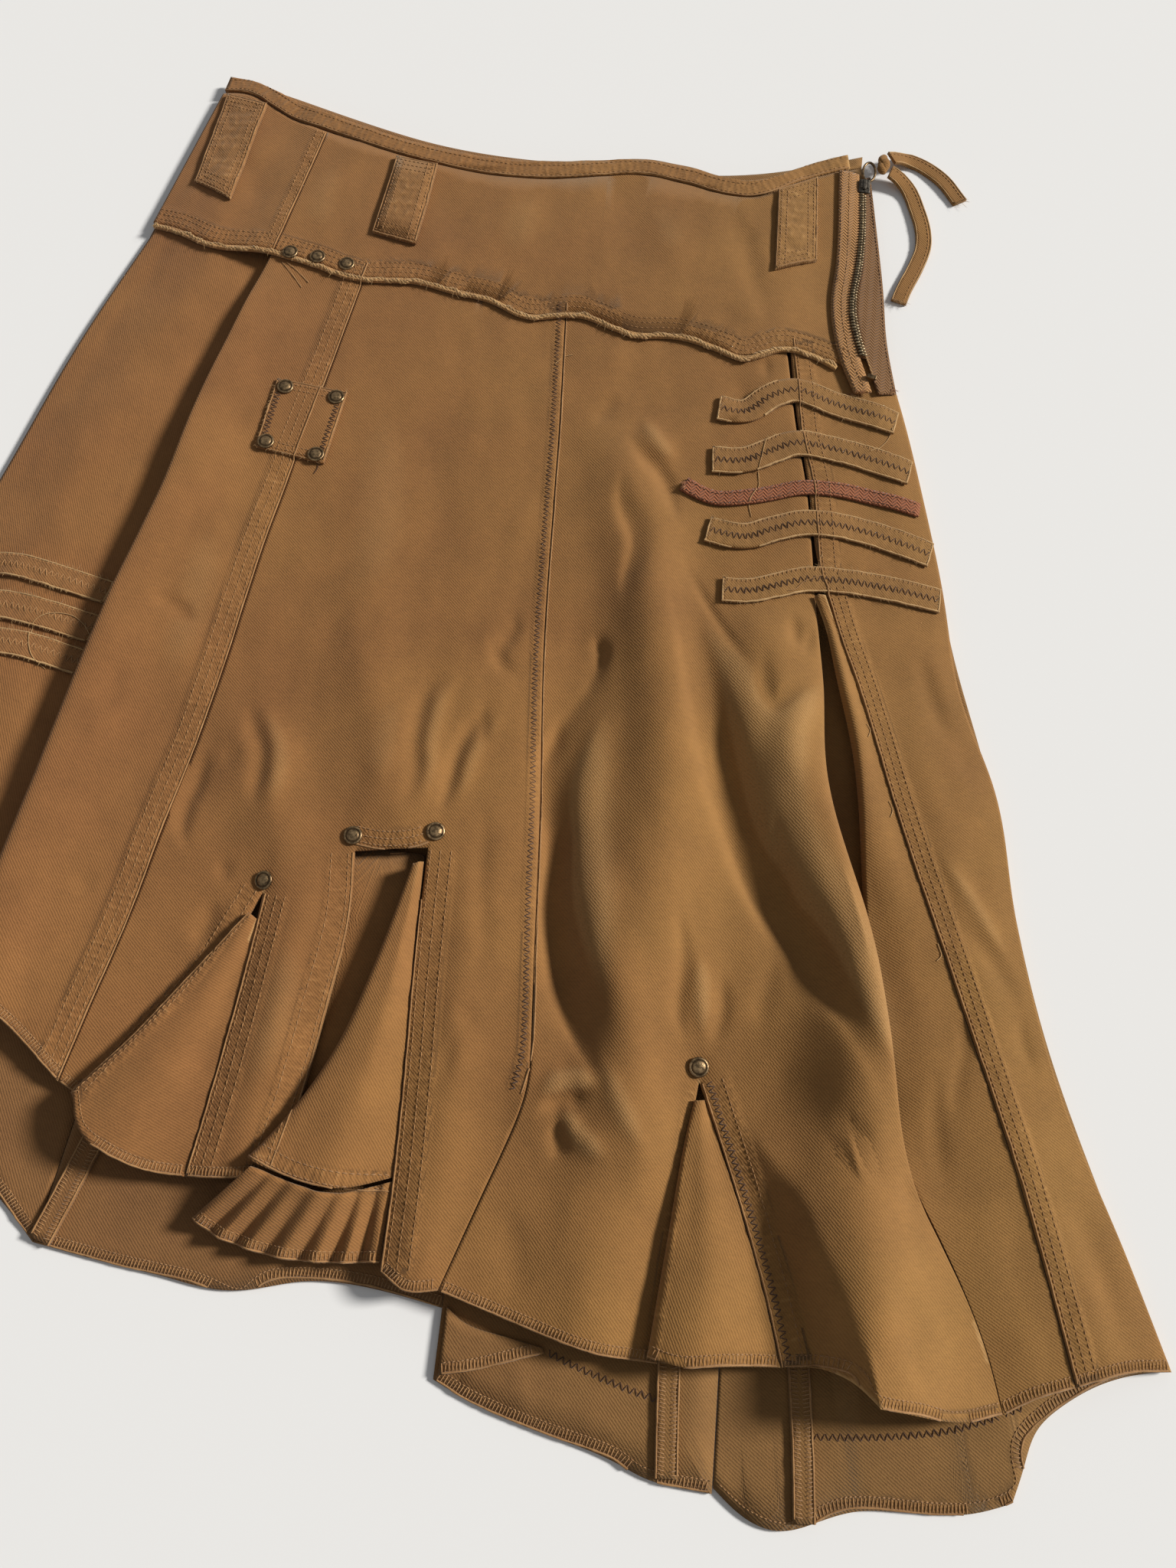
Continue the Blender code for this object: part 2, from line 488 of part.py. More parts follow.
def build_back(cloth):
    rows = 8
    binding_top = curve(BACK_WAIST, 19)
    yoke_top = binding_top - (0, BACK_BINDING_WIDTH + GAP)
    yoke_low = curve(BACK_YOKE_LOW, 19)
    left_side = curve([tuple(yoke_top[0]), (-204, 292), tuple(yoke_low[0])], 4)
    right_side = curve([tuple(yoke_top[-1]), (203, 288), tuple(yoke_low[-1])], 4)
    wall("back_yoke", [panel(back_height, yoke_top, yoke_low, left_side, right_side)], cloth)
    low = binding_top - (0, BACK_BINDING_WIDTH)
    side_left = np.linspace(binding_top[0], low[0], 3)
    side_right = np.linspace(binding_top[-1], low[-1], 3)
    grid = panel(back_height, binding_top, low, side_left, side_right)
    wall("back_waist_binding", [grid], cloth, LOOP_THICK, (LOOP_THICK - CLOTH) / 2)
    starts = [BACK_YOKE_LOW[0], *[seam[0] for seam in BACK_SEAMS], BACK_YOKE_LOW[-1]]
    seams = [curve([(-213, 231.5), *LEFT_SIDE], rows + 1)]
    seams += [curve(seam, rows + 1) for seam in BACK_SEAMS]
    seams.append(curve([(212, 215.5), *RIGHT_SIDE, (357, -286)], rows + 1))
    hems = [BACK_HEM_LEFT, BACK_HEM_MIDDLE, BACK_HEM_RIGHT, BACK_HEM_SIDE]
    names = ["back_panel_left", "back_panel_middle", "back_panel_right", "back_panel_side"]
    columns = [9, 9, 9, 14]
    for name, hem, count, k in zip(names, hems, columns, range(4)):
        left, right = seams[k].copy(), seams[k + 1].copy()
        if name == "back_panel_right":
            left = curve([*BACK_SEAMS[1][:-1], (57.5, -304), (58, -331)], rows + 1)
            right[-1] = BACK_HEM_RIGHT[-1]
        if k > 0:
            left = inset(left, SEAM_INSET)
        if k < 3:
            right = inset(right, -SEAM_INSET)
        bottom = curve(hem, count + 1)
        bottom[0], bottom[-1] = left[-1], right[-1]
        share = np.linspace(0, 1, count + 1)[:, None]
        x0, x1 = starts[k][0], starts[k + 1][0]
        top_line = curve(BACK_YOKE_LOW, 60)
        top_x = left[0][0] + (right[0][0] - left[0][0]) * share[:, 0]
        top = np.stack([top_x, np.interp(top_x, top_line[:, 0], top_line[:, 1]) - SEAM_INSET * 2], axis=1)
        left[0], right[0] = top[0], top[-1]
        wall(name, [panel(back_height, top, bottom, left, right)], cloth)
    for name, line, width in ALLOWANCES:
        middle = curve(line, 5)
        edge = sideways(middle) * width / 2
        grid = np.stack([middle - edge, middle, middle + edge], axis=1)
        wall(name, [surface(back_height, grid, STEP)], cloth)
    top, low = curve(BACK_FOLD_TOP, 6), curve(BACK_FOLD_LOW, 6)
    wall("back_hem_fold", [panel(back_height, top, low, np.linspace(top[0], low[0], 3),
                                 np.linspace(top[-1], low[-1], 3), STEP)], cloth)


def build_side_left(cloth):
    rows = 18
    left = inset(curve([(-208, 245), *LEFT_SIDE], rows + 1), SEAM_INSET)
    fold = curve(LEFT_FOLD, rows + 1)
    reach = np.interp(np.linspace(0, 1, rows + 1), [0, 0.3, 1], [7.0, 14.0, 24.0])
    right = fold + np.stack([reach, np.zeros(rows + 1)], axis=1)
    right[0] = (-129, 232)
    right[-1] = HEM_SIDE_LEFT[-1]
    top = curve([tuple(left[0]), (-180, 237), (-158, 234), tuple(right[0])], 9)
    bottom = curve([tuple(left[-1]), *HEM_SIDE_LEFT[1:]], 9)
    wall("side_panel_left", [panel(side_height, top, bottom, left, right)], cloth)


def turned_in(line, rows, side):
    """The line where a turn starts, so that the turned edge itself reaches the given line."""
    radius, angle, _ = table(rows, np.linspace(0, 1, len(line)))
    reach = radius * np.sin(np.radians(np.minimum(angle, 90))) + CLOTH / 2
    return line + sideways(line) * (-side * reach)[:, None]


def build_front_left(cloth):
    rows = SEAM_ROWS
    left = turned_in(curve([(-136, 230), *LEFT_FOLD[1:]], rows + 1), LEFT_PLEAT_TURN, -1)
    right = inset(curve(SEAM_A, rows + 1), -SEAM_INSET)
    top = curve([tuple(left[0]), (-108, 225), tuple(right[0])], 6)
    bottom = curve([tuple(left[-1]), *HEM_FRONT_LEFT[1:-1], tuple(right[-1])], 6)
    points, out = panel(front_height, top, bottom, left, right)
    wall("front_panel_left", [with_turn(points, out, -1, LEFT_PLEAT_TURN)], cloth)


def row_between(points, counts):
    """A row through points, with counts[k] steps from point k to point k + 1."""
    parts = [np.linspace(points[k], points[k + 1], counts[k] + 1) for k in range(len(counts))]
    return chained(*[np.array(part) for part in parts])


def build_front_centre(cloth):
    left = inset(curve(SEAM_A, SEAM_ROWS + 1), SEAM_INSET)
    right = inset(curve(SEAM_B, SEAM_ROWS + 1), -SEAM_INSET)
    rows_up = 14
    rows_low = SEAM_ROWS - rows_up
    apex_left, apex_right = (-55.5, -141), (16, -110)
    apex_band = (-18, -116)
    counts = [4, 4, 3, 5]
    row = row_between([left[rows_up], apex_left, apex_band, apex_right, right[rows_up]], counts)
    top = curve([tuple(left[0]), (-24, 218), tuple(right[0])], len(row))
    upper = panel(front_height, top, row, left[: rows_up + 1], right[: rows_up + 1])
    row_a, row_b, row_c = row[: 5], row[4: 9], row[11:]
    slit_a = curve([tuple(row[4]), *SLIT_LEFT_A[1:]], rows_low + 1)
    low_left, low_right = left[rows_up:], right[rows_up:]
    hem_a = curve([tuple(low_left[-1]), HEM_SLIT_A[1], tuple(slit_a[-1])], 5)
    lower_a = panel(front_height, row_a, hem_a, low_left, slit_a)
    seam_b = curve([tuple(row[4]), *GODET_LEFT_SEAM[1:]], rows_low + 1)
    seam_b[1:] = inset(seam_b, SEAM_INSET)[1:]
    slit_b = curve([tuple(row[8]), *SLIT_MIDDLE_LEFT[1:]], rows_low + 1)
    hem_b = curve([tuple(seam_b[-1]), HEM_SLIT_B[1], tuple(slit_b[-1])], 5)
    lower_b = panel(front_height, row_b, hem_b, seam_b, slit_b)
    seam_c = curve([tuple(row[11]), *GODET_MIDDLE_SEAM[1:]], rows_low + 1)
    seam_c[1:] = inset(seam_c, SEAM_INSET)[1:]
    hem_c = curve([tuple(seam_c[-1]), HEM_SLIT_C[1], tuple(low_right[-1])], 6)
    lower_c = panel(front_height, row_c, hem_c, seam_c, low_right)
    wall("front_panel_centre", [upper, lower_a, lower_b, lower_c], cloth)


def resample(line, count):
    along = np.concatenate([[0], np.cumsum(np.linalg.norm(np.diff(line, axis=0), axis=1))])
    wanted = np.linspace(0, along[-1], count)
    return np.stack([np.interp(wanted, along, line[:, k]) for k in range(line.shape[1])], axis=1)


def build_front_right(cloth):
    rows, rows_up = SEAM_ROWS, 17
    rows_low = rows - rows_up
    left = inset(curve(SEAM_B, rows + 1), SEAM_INSET)
    right = turned_in(curve([(157, 206), *RIGHT_FOLD[1:]], rows + 1), RIGHT_PLEAT_TURN, 1)
    apex = (153, -198)
    columns_a, columns_b = 8, 7
    row = row_between([left[rows_up], apex, right[rows_up]], [columns_a, columns_b])
    top = curve([tuple(left[0]), (70, 205), (110, 204), tuple(right[0])], len(row))
    upper = panel(front_height, top, row, left[: rows_up + 1], right[: rows_up + 1])
    slit_a = curve([apex, *SLIT_RIGHT_A[1:]], rows_low + 1)
    hem_a = curve([tuple(left[-1]), *HEM_RIGHT_A[1:-1], tuple(slit_a[-1])], columns_a + 1)
    lower_a = panel(front_height, row[: columns_a + 1], hem_a, left[rows_up:], slit_a)
    seam_b = curve([apex, *GODET_RIGHT_SEAM[1:]], rows_low + 1)
    seam_b[1:] = inset(seam_b, SEAM_INSET)[1:]
    hem_b = curve([tuple(seam_b[-1]), *HEM_RIGHT_B[1:-1], tuple(right[-1])], columns_b + 1)
    lower_b = panel(front_height, row[columns_a:], hem_b, seam_b, right[rows_up:])
    edge = np.vstack([upper[0][:, -1], lower_b[0][1:, -1]])[:, None]
    edge_out = np.vstack([upper[1][:, -1], lower_b[1][1:, -1]])[:, None]
    rolled = with_turn(edge, edge_out, 1, RIGHT_PLEAT_TURN)
    wall("front_panel_right", [upper, lower_a, lower_b, rolled], cloth)


def gore_height(x, y):
    """The gore lies low on its pleat side and comes up to the side panel's height at its seam."""
    x, y = np.asarray(x, float), np.asarray(y, float)
    left, right = edge_x(GORE_LEFT, y), edge_x(SEAM_C, y)
    share = smoothstep((x - left) / np.maximum(right - left, 2.0))
    rise = smoothstep((GORE_TUCK_FROM + y) / GORE_TUCK_OVER)
    tucked = GORE_TUCKED + (front_height(x, y) - GORE_TUCKED) * smoothstep((-y - 215) / 22)
    low = GORE_EDGE * rise + tucked * (1 - rise)
    return low * (1 - share) + front_height(x, y) * share


def build_gore(cloth):
    rows = 16
    left = turned_in(curve(GORE_LEFT, rows + 1), GORE_TURN, -1)
    right = inset(curve(SEAM_C, rows + 1), -SEAM_INSET)
    left[0], right[0] = GORE_TOP
    top = np.linspace(left[0], right[0], 5)
    bottom = curve([tuple(left[-1]), HEM_GORE[1], tuple(right[-1])], 5)
    points, out = panel(gore_height, top, bottom, left, right)
    wall("pleat_gore", [with_turn(points, out, -1, GORE_TURN)], cloth)


def build_side_right(cloth):
    rows = 20
    upper_left = curve([(158, 204), (163, 177), (168, 145), (176, 116), (180, 88), (184, 62), (189, 52)], 9)
    left = chained(upper_left + (0.75, 0), curve(SEAM_C, rows - 7))
    left = inset(resample(left, rows + 1), SEAM_INSET)
    right = inset(curve([(211, 212), *RIGHT_SIDE, (358, -286)], rows + 1), -SEAM_INSET)
    left[0] = (159.5, 204)
    top = curve([tuple(left[0]), (186, 198), tuple(right[0])], 6)
    bottom = curve([tuple(left[-1]), HEM_SIDE_RIGHT[1], tuple(right[-1])], 6)
    wall("side_panel_right", [panel(front_height, top, bottom, left, right)], cloth)


def godet(name, fold, seam, hem, turn, rows, columns, cloth, top_gap, spread):
    """A godet whose left edge turns under, over the cloth beside it, and whose right edge is a seam."""
    left = turned_in(curve(fold, rows + 1, top_gap / 2, 1.0), turn, -1)
    right = inset(curve(seam, rows + 1, top_gap, 1.0), -SEAM_INSET - 0.1)
    top = np.linspace(left[0], right[0], columns + 1)
    bottom = curve([tuple(left[-1]), *hem[1:-1], tuple(right[-1])], columns + 1)
    grid = between(top, bottom, left, right)
    radius, _, _ = table(turn, np.linspace(0, 1, rows + 1))
    points, out = surface(front_height, grid)
    share = np.linspace(0, 1, columns + 1)[None, :]
    fall = 1 - smoothstep((share - spread) / (1 - spread))
    points[..., 2] += (STEP + 2 * radius[:, None] + 0.25) * fall
    # The directions follow the raised grid itself, since it leaves the front's own height.
    across = np.gradient(points, axis=1)
    down = np.gradient(points, axis=0)
    out = np.cross(down, across)
    out /= np.linalg.norm(out, axis=2, keepdims=True)
    flat = surface(front_height, grid)[1]
    out[:, -1] = flat[:, -1]
    wall(name, [with_turn(points, out, -1, turn)], cloth)
    return points[-1]


def build_godets(cloth):
    godet("godet_left", GODET_LEFT_FOLD, GODET_LEFT_SEAM, HEM_GODET_LEFT, GODET_TURN, 8, 6, cloth, 0.1, 0.3)
    godet("godet_right", GODET_RIGHT_FOLD, GODET_RIGHT_SEAM, HEM_GODET_RIGHT, GODET_TURN, 8, 5, cloth,
          0.06, 0.3)
    band = godet("godet_middle_flap", FLAP_FOLD, GODET_MIDDLE_SEAM[:4], BAND_LOW, FLAP_TURN, 9, 6, cloth,
                 0.04, 0.5)
    top = np.linspace(*UNDERLAY_TOP, 6)
    bottom = np.linspace(*UNDERLAY_LOW, 6)
    left = np.linspace(top[0], bottom[0], 6)
    right = np.linspace(top[-1], bottom[-1], 6)
    flat = between(top, bottom, left, right)
    wall("godet_middle_underlay", [surface(back_height, flat, UNDERLAY_HEIGHT - CLOTH / 2)], cloth)
    build_ruffle(band, cloth)


def build_ruffle(band, cloth):
    """A gathered frill hung from the flap's lower edge, whose waves grow towards its hem."""
    columns, rows = 40, 4
    top = curve(band, columns + 1)
    top[:, 1] -= CLOTH + GAP
    top[0, 0] -= 1.5
    shares = np.linspace(0, 1, columns + 1)
    hem = curve(RUFFLE_HEM, columns + 1)
    hem = np.column_stack([hem, np.full(columns + 1, RUFFLE_HEM_HEIGHT)])
    wave = np.sin(2 * math.pi * RUFFLE_WAVES * shares + 0.8 * np.sin(2 * math.pi * shares))
    down = np.linspace(0, 1, rows + 1)[:, None, None]
    points = top[None] * (1 - down) + hem[None] * down
    points[..., 2] += wave[None] * RUFFLE_DEPTH * (0.25 + 0.75 * down[..., 0])
    out = np.cross(np.gradient(points, axis=0), np.gradient(points, axis=1))
    out /= np.linalg.norm(out, axis=2, keepdims=True)
    wall("ruffle", [(points, out)], cloth, RUFFLE_THICK)


def build_yokes(cloth):
    columns, rows = 38, 6
    seam = curve(YOKE_SEAM, rows + 1)
    low_all = curve(YOKE_LOW, 200)
    low = low_all[low_all[:, 0] > YOKE_SEAM[-1][0]]
    top_all = curve(BINDING_LOW, 200)
    high = top_all[top_all[:, 0] > YOKE_SEAM[0][0]]
    high = high[high[:, 0] < YOKE_RIGHT[0][0]]
    low = low[low[:, 0] < YOKE_RIGHT[-1][0]]
    right = resample(np.array(YOKE_RIGHT, float), rows + 1)
    left = inset(seam, SEAM_INSET)
    top = resample(np.vstack([left[0], high[3:], right[0]]), columns + 1)
    bottom = resample(np.vstack([left[-1], low[3:-3], right[-1]]), columns + 1)
    top = top - (0, 2 * GAP)
    left[0], right[0] = top[0], top[-1]
    left[-1], right[-1] = bottom[0], bottom[-1]
    wall("front_yoke", [panel(yoke_height, top, bottom, left, right)], cloth)
    low = low_all[low_all[:, 0] < YOKE_SEAM[-1][0]]
    high = top_all[top_all[:, 0] < YOKE_SEAM[0][0]]
    edge = inset(curve([(-196, 344), (-204, 292), (-212, 240)], rows + 1), SEAM_INSET)
    seam = inset(seam, -SEAM_INSET)
    top = resample(np.vstack([edge[0], high[3:-2], seam[0]]), 10) - (0, 3 * GAP)
    bottom = resample(np.vstack([edge[-1], low[3:-2], seam[-1]]), 10)
    edge[0], seam[0] = top[0], top[-1]
    edge[-1], seam[-1] = bottom[0], bottom[-1]
    wall("side_yoke", [panel(yoke_height, top, bottom, edge, seam)], cloth)


def build_binding(cloth):
    columns = 36
    top = curve(WAIST_TOP, columns + 1)
    low = curve(BINDING_LOW, columns + 1)
    grid = between(top, low, np.linspace(top[0], low[0], 4), np.linspace(top[-1], low[-1], 4))
    wall("waist_binding", [surface(yoke_height, grid)], cloth, BINDING_THICK, (BINDING_THICK - CLOTH) / 2)


def build_raw_edge(tape):
    """The yoke's rolled raw edge, a thin bead in front of the yoke's lower rim."""
    columns = 60
    middle = curve(YOKE_LOW, columns + 1, 0.004, 0.992)
    down = sideways(middle) * -1
    down *= np.sign(-down[:, 1:2])
    first = middle + down * (GAP + 0.3)
    grid = np.stack([first, first + down * RAW_EDGE_WIDTH])
    wall("yoke_raw_edge", [surface(yoke_height, grid)], tape, RAW_EDGE_THICK, RAW_EDGE_RISE)


def four_sided(height, corners, columns, rows, lift):
    top = np.linspace(corners[0], corners[1], columns + 1)
    bottom = np.linspace(corners[3], corners[2], columns + 1)
    left = np.linspace(corners[0], corners[3], rows + 1)
    right = np.linspace(corners[1], corners[2], rows + 1)
    return surface(height, between(top, bottom, left, right), lift)


def build_belt_loops(cloth):
    for k, corners in enumerate(BELT_LOOPS, 1):
        wall(f"belt_loop_{k}", [four_sided(yoke_height, corners, 3, 8, LOOP_LIFT)], cloth, LOOP_THICK)


def build_patch(cloth):
    wall("square_patch", [four_sided(front_height, SQUARE_PATCH, 4, 5, STEP)], cloth)


def build_strips(cloth, tape):
    for k, (line, width) in enumerate(HIP_STRIPS, 1):
        finish = tape if k == 3 else cloth
        wall(f"hip_strip_right_{k}", [ribbon(front_height, line, width, 15, 2, STEP + STRIP_RISE)], finish,
             STRIP_THICK)
    for k, (line, width) in enumerate(LEFT_STRIPS, 1):
        wall(f"hip_strip_left_{k}", [ribbon(side_height, line, width, 9, 2, STEP)], cloth, STRIP_THICK)


def rivet_mesh():
    """A domed head as a turned profile, its flat back at z = 0."""
    mesh = bpy.data.meshes.new("rivet_profile")
    bm = bmesh.new()
    profile = [(0.0, RIVET_HEIGHT), (RIVET_CROWN, RIVET_HEIGHT - 0.4), (RIVET_RADIUS, RIVET_EDGE),
               (RIVET_RADIUS, 0.0), (0.0, 0.0)]
    verts = [bm.verts.new((x * MM, 0, z * MM)) for x, z in profile]
    for a, b in zip(verts, verts[1:]):
        bm.edges.new((a, b))
    bm.to_mesh(mesh)
    bm.free()
    return mesh


def place_on(obj, point, out):
    axis = Vector(out).normalized()
    turn = Vector((0, 0, 1)).rotation_difference(axis)
    obj.location = Vector(point) * MM
    obj.rotation_mode = "QUATERNION"
    obj.rotation_quaternion = turn


def build_rivets(brass):
    mesh = rivet_mesh()
    for name, x, y, lift in RIVETS:
        obj = add_object(name, mesh.copy(), brass)
        screw = obj.modifiers.new("turned", "SCREW")
        screw.steps = screw.render_steps = 12
        screw.use_merge_vertices = True
        screw.merge_threshold = 0.00005
        screw.use_smooth_shade = True
        height = yoke_height if "yoke" in name else front_height
        points, out = surface(height, np.array([[(x, y)]], float))
        sag = sag_under(height, x, y, out[0, 0])
        place_on(obj, points[0, 0] + out[0, 0] * (lift + sag), out[0, 0])


def sag_under(height, x, y, out):
    """How far the cloth stands above a flat disc of the rivet's size, at the disc's rim."""
    angles = np.linspace(0, 2 * math.pi, 17)
    rim_x, rim_y = x + RIVET_RADIUS * np.cos(angles), y + RIVET_RADIUS * np.sin(angles)
    rim = np.stack([rim_x, rim_y, height(rim_x, rim_y)], axis=1)
    middle = np.array([x, y, float(height(np.array(x, float), np.array(y, float)))])
    return max(0.0, float(((rim - middle) @ out).max()))


def add_block(name, size, finish, rounding):
    mesh = bpy.data.meshes.new(name)
    bm = bmesh.new()
    bmesh.ops.create_cube(bm, size=1.0, matrix=Matrix.Diagonal((*[side * MM for side in size], 1.0)))
    bm.to_mesh(mesh)
    bm.free()
    block = add_object(name, mesh, finish)
    bevel = block.modifiers.new("rounded", "BEVEL")
    bevel.width = rounding * MM
    bevel.segments = 2
    return block


def build_zip(tape, brass, dark):
    rows = 20
    height = yoke_height
    left = curve(TAPE_FRONT_LEFT, rows + 1)
    teeth = curve(ZIP_LINE, rows + 1)
    right = curve(TAPE_BACK_RIGHT, rows + 1)
    half = (CHAIN_WIDTH / 2, 0)
    slot = (CHAIN_WIDTH / 2 + GAP, 0)
    inner, outer = teeth - slot, teeth + slot
    front = np.stack([left, (left + inner) / 2, inner], axis=1)
    wall("zip_tape_front", [surface(height, front, STEP)], tape, TAPE_THICK)
    back = np.stack([outer, (outer + right) / 2, right], axis=1)
    wall("zip_tape_back", [surface(height, back, TAPE_THICK / 2)], tape, TAPE_THICK)
    chain = np.stack([teeth - half, teeth + half], axis=1)[CHAIN_FROM:CHAIN_TO]
    wall("zip_chain", [surface(height, chain, STEP)], brass, CHAIN_HEIGHT)
    slider = add_block("zip_slider", SLIDER_SIZE, dark, 0.8)
    points, out = surface(height, np.array([[SLIDER_AT]], float))
    place_on(slider, points[0, 0] + out[0, 0] * SLIDER_LIFT, out[0, 0])
    stop = add_block("zip_stop", STOP_SIZE, brass, 0.4)
    points, out = surface(height, np.array([[STOP_AT]], float))
    place_on(stop, points[0, 0] + out[0, 0] * STOP_LIFT, out[0, 0])
    build_ring(brass)


def build_ring(brass):
    """The wire ring of the zip's pull, lying over the binding towards the waist."""
    path = bpy.data.curves.new("zip_ring", "CURVE")
    path.dimensions = "3D"
    path.bevel_depth = RING_WIRE * MM
    path.bevel_resolution = 1
    spline = path.splines.new("POLY")
    count = 18
    spline.points.add(count - 1)
    for k, point in enumerate(spline.points):
        turn = 2 * math.pi * k / count
        point.co = (RING_HALF[0] * math.cos(turn) * MM, RING_HALF[1] * math.sin(turn) * MM, 0, 1)
    spline.use_cyclic_u = True
    ring = add_object("zip_ring", path, brass)
    ring.location = Vector((*RING_AT, RING_HEIGHT)) * MM


def tie(name, path, cloth):
    """A flat strip of cloth along a path of (x, y, z), its width kept level."""
    middle = curve(path, 4 * len(path) - 3)
    middle[:, 2] = np.maximum(middle[:, 2], TIE_THICK / 2)
    across = sideways(middle[:, :2])
    across = np.column_stack([across, np.zeros(len(middle))])
    grid = np.stack([middle - across * TIE_WIDTH / 2, middle + across * TIE_WIDTH / 2], axis=1)
    along = np.gradient(middle, axis=0)
    out = np.cross(across, -along)
    out /= np.linalg.norm(out, axis=1, keepdims=True)
    wall(name, [(grid, np.stack([out, out], axis=1))], cloth, TIE_THICK)


def build_ties(cloth):
    knot = add_block("tie_knot", KNOT_SIZE, cloth, 1.5)
    knot.location = Vector(KNOT_AT) * MM
    tie("tie_upper", TIE_UPPER, cloth)
    tie("tie_lower", TIE_LOWER, cloth)


def build_all():
    clear_scene()
    bpy.context.scene.collection.children.link(SKIRT)
    middle = bpy.data.objects.new("box_middle", None)
    middle.location = (-BOX_MIDDLE[0] * MM, -BOX_MIDDLE[1] * MM, 0)
    SKIRT.objects.link(middle)
    cloth = material("cloth")
    tape = material("tape")
    brass = material("brass", 0.9, 0.4)
    dark = material("dark_metal", 0.9, 0.45)
    build_back(cloth)
    build_side_left(cloth)
    build_front_left(cloth)
    build_front_centre(cloth)
    build_front_right(cloth)
    build_gore(cloth)
    build_side_right(cloth)
    build_godets(cloth)
    build_yokes(cloth)
    build_binding(cloth)
    build_raw_edge(tape)
    build_belt_loops(cloth)
    build_patch(cloth)
    build_strips(cloth, tape)
    build_rivets(brass)
    build_zip(tape, brass, dark)
    build_ties(cloth)


build_all()
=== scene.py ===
import json
import math
import random

import bmesh
import bpy
import numpy as np
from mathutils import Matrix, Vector, noise
from mathutils.bvhtree import BVHTree
from mathutils.kdtree import KDTree


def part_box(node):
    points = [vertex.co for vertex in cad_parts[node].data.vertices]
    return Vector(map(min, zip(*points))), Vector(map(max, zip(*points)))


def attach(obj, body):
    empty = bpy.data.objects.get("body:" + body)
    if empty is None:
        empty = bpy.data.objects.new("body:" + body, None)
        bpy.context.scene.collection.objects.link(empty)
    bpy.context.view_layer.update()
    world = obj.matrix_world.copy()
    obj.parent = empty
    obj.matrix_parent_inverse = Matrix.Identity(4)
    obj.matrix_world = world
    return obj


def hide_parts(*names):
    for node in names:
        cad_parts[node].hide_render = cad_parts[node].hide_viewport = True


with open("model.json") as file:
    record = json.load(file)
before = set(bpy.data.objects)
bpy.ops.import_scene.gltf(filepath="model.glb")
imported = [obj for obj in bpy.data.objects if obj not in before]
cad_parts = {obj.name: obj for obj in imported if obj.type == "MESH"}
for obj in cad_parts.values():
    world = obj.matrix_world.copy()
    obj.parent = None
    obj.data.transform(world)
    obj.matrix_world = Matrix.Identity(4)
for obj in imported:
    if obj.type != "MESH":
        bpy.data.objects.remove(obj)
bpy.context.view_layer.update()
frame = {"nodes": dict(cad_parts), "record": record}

# The skirt's looks: cloth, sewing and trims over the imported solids. Tables are in millimetres,
# measured from BOX_MIDDLE as in the pattern of the solids, +Y to the waist and +X to the zip.
# A distance across a line is above zero on its right as it runs down, or above it as it runs right.
MM = 0.001
BOX_MIDDLE = (3.415, -4.255)
SCENE = bpy.context.scene
DOWN = Vector((0, 0, -1))

# Seams, folds and hems, as in the pattern of the solids
YOKE_LOW = [(-212, 240), (-195, 236), (-174, 227), (-154, 226), (-135, 224), (-108, 218), (-84, 212),
            (-52, 215), (-28, 211), (-6, 208), (14, 200), (43, 205), (72, 196), (98, 198), (120, 193),
            (136, 188), (156, 198), (177, 196), (190, 190)]
BINDING_LOW = [(-195, 345), (-177, 343), (-143, 323), (-80, 304), (-23, 296), (20, 299), (60, 308),
               (90, 305), (115, 300), (136, 303), (160, 321), (184, 333)]
YOKE_SEAM = [(-124, 315), (-129, 275), (-135, 224)]
LEFT_SIDE = [(-196, 352), (-212, 240), (-232, 152), (-248, 61), (-261, 5), (-280, -46), (-290, -100),
             (-305, -152), (-322, -200), (-351, -262)]
RIGHT_SIDE = [(192, 346), (202, 290), (213, 211), (226, 165), (241, 106), (252, 58), (261, 5), (282, -46),
              (290, -100), (305, -160), (318, -197), (336, -234), (358, -286)]
SEAM_A = [(-80, 222), (-88, 139), (-93, 89), (-98, 34), (-101, -29), (-104, -70), (-109, -112),
          (-114, -163), (-120, -201), (-126, -237)]
SEAM_B = [(34, 210), (42, 133), (46, 86), (54, -3), (65, -87), (70, -130), (76, -180), (80, -215),
          (72, -240), (55, -297)]
SEAM_B_SEWN = SEAM_B[:6] + [(76, -175), (78, -198), (76, -214)]      # how far its zigzag goes
SEAM_C = [(190, 52), (199, 26), (209, 2), (217, -20), (231, -60), (251, -111), (266, -149), (281, -189),
          (297, -234), (317, -297)]
RIGHT_FOLD_TOP = [(160, 204), (165, 177), (170, 145), (178, 116), (182, 88), (186, 62), (190, 52)]
SLIT_LEFT = [(-56, -142), (-73, -185), (-92, -217), (-108, -243)]
GODET_LEFT_FOLD = [(-57, -147), (-80, -184), (-99, -216), (-117, -240)]
GODET_LEFT_SEAM = [(-55, -142), (-56, -188), (-58, -234), (-60, -268)]
SLIT_MIDDLE = [(-18, -117), (-14, -150), (-16, -192), (-18, -225), (-22, -262)]
GODET_MIDDLE_SEAM = [(15, -111), (19, -161), (24, -210), (28, -256), (30, -293)]
SLIT_RIGHT = [(152, -199), (151, -225), (150, -252), (149, -285), (148, -312)]
GODET_RIGHT_SEAM = [(154, -199), (163, -219), (176, -248), (188, -277), (198, -306)]
MIDDLE_SLIT_TOP = [(-20, -113), (-11, -114), (-4, -114), (3, -113), (10, -111), (16, -108)]
FLAP_LOW = [(-33, -256), (-14, -262), (6, -264), (27.5, -262)]
RUFFLE_HEM = [(-53, -284), (-40, -290), (-15, -294), (8, -293), (28.5, -290)]
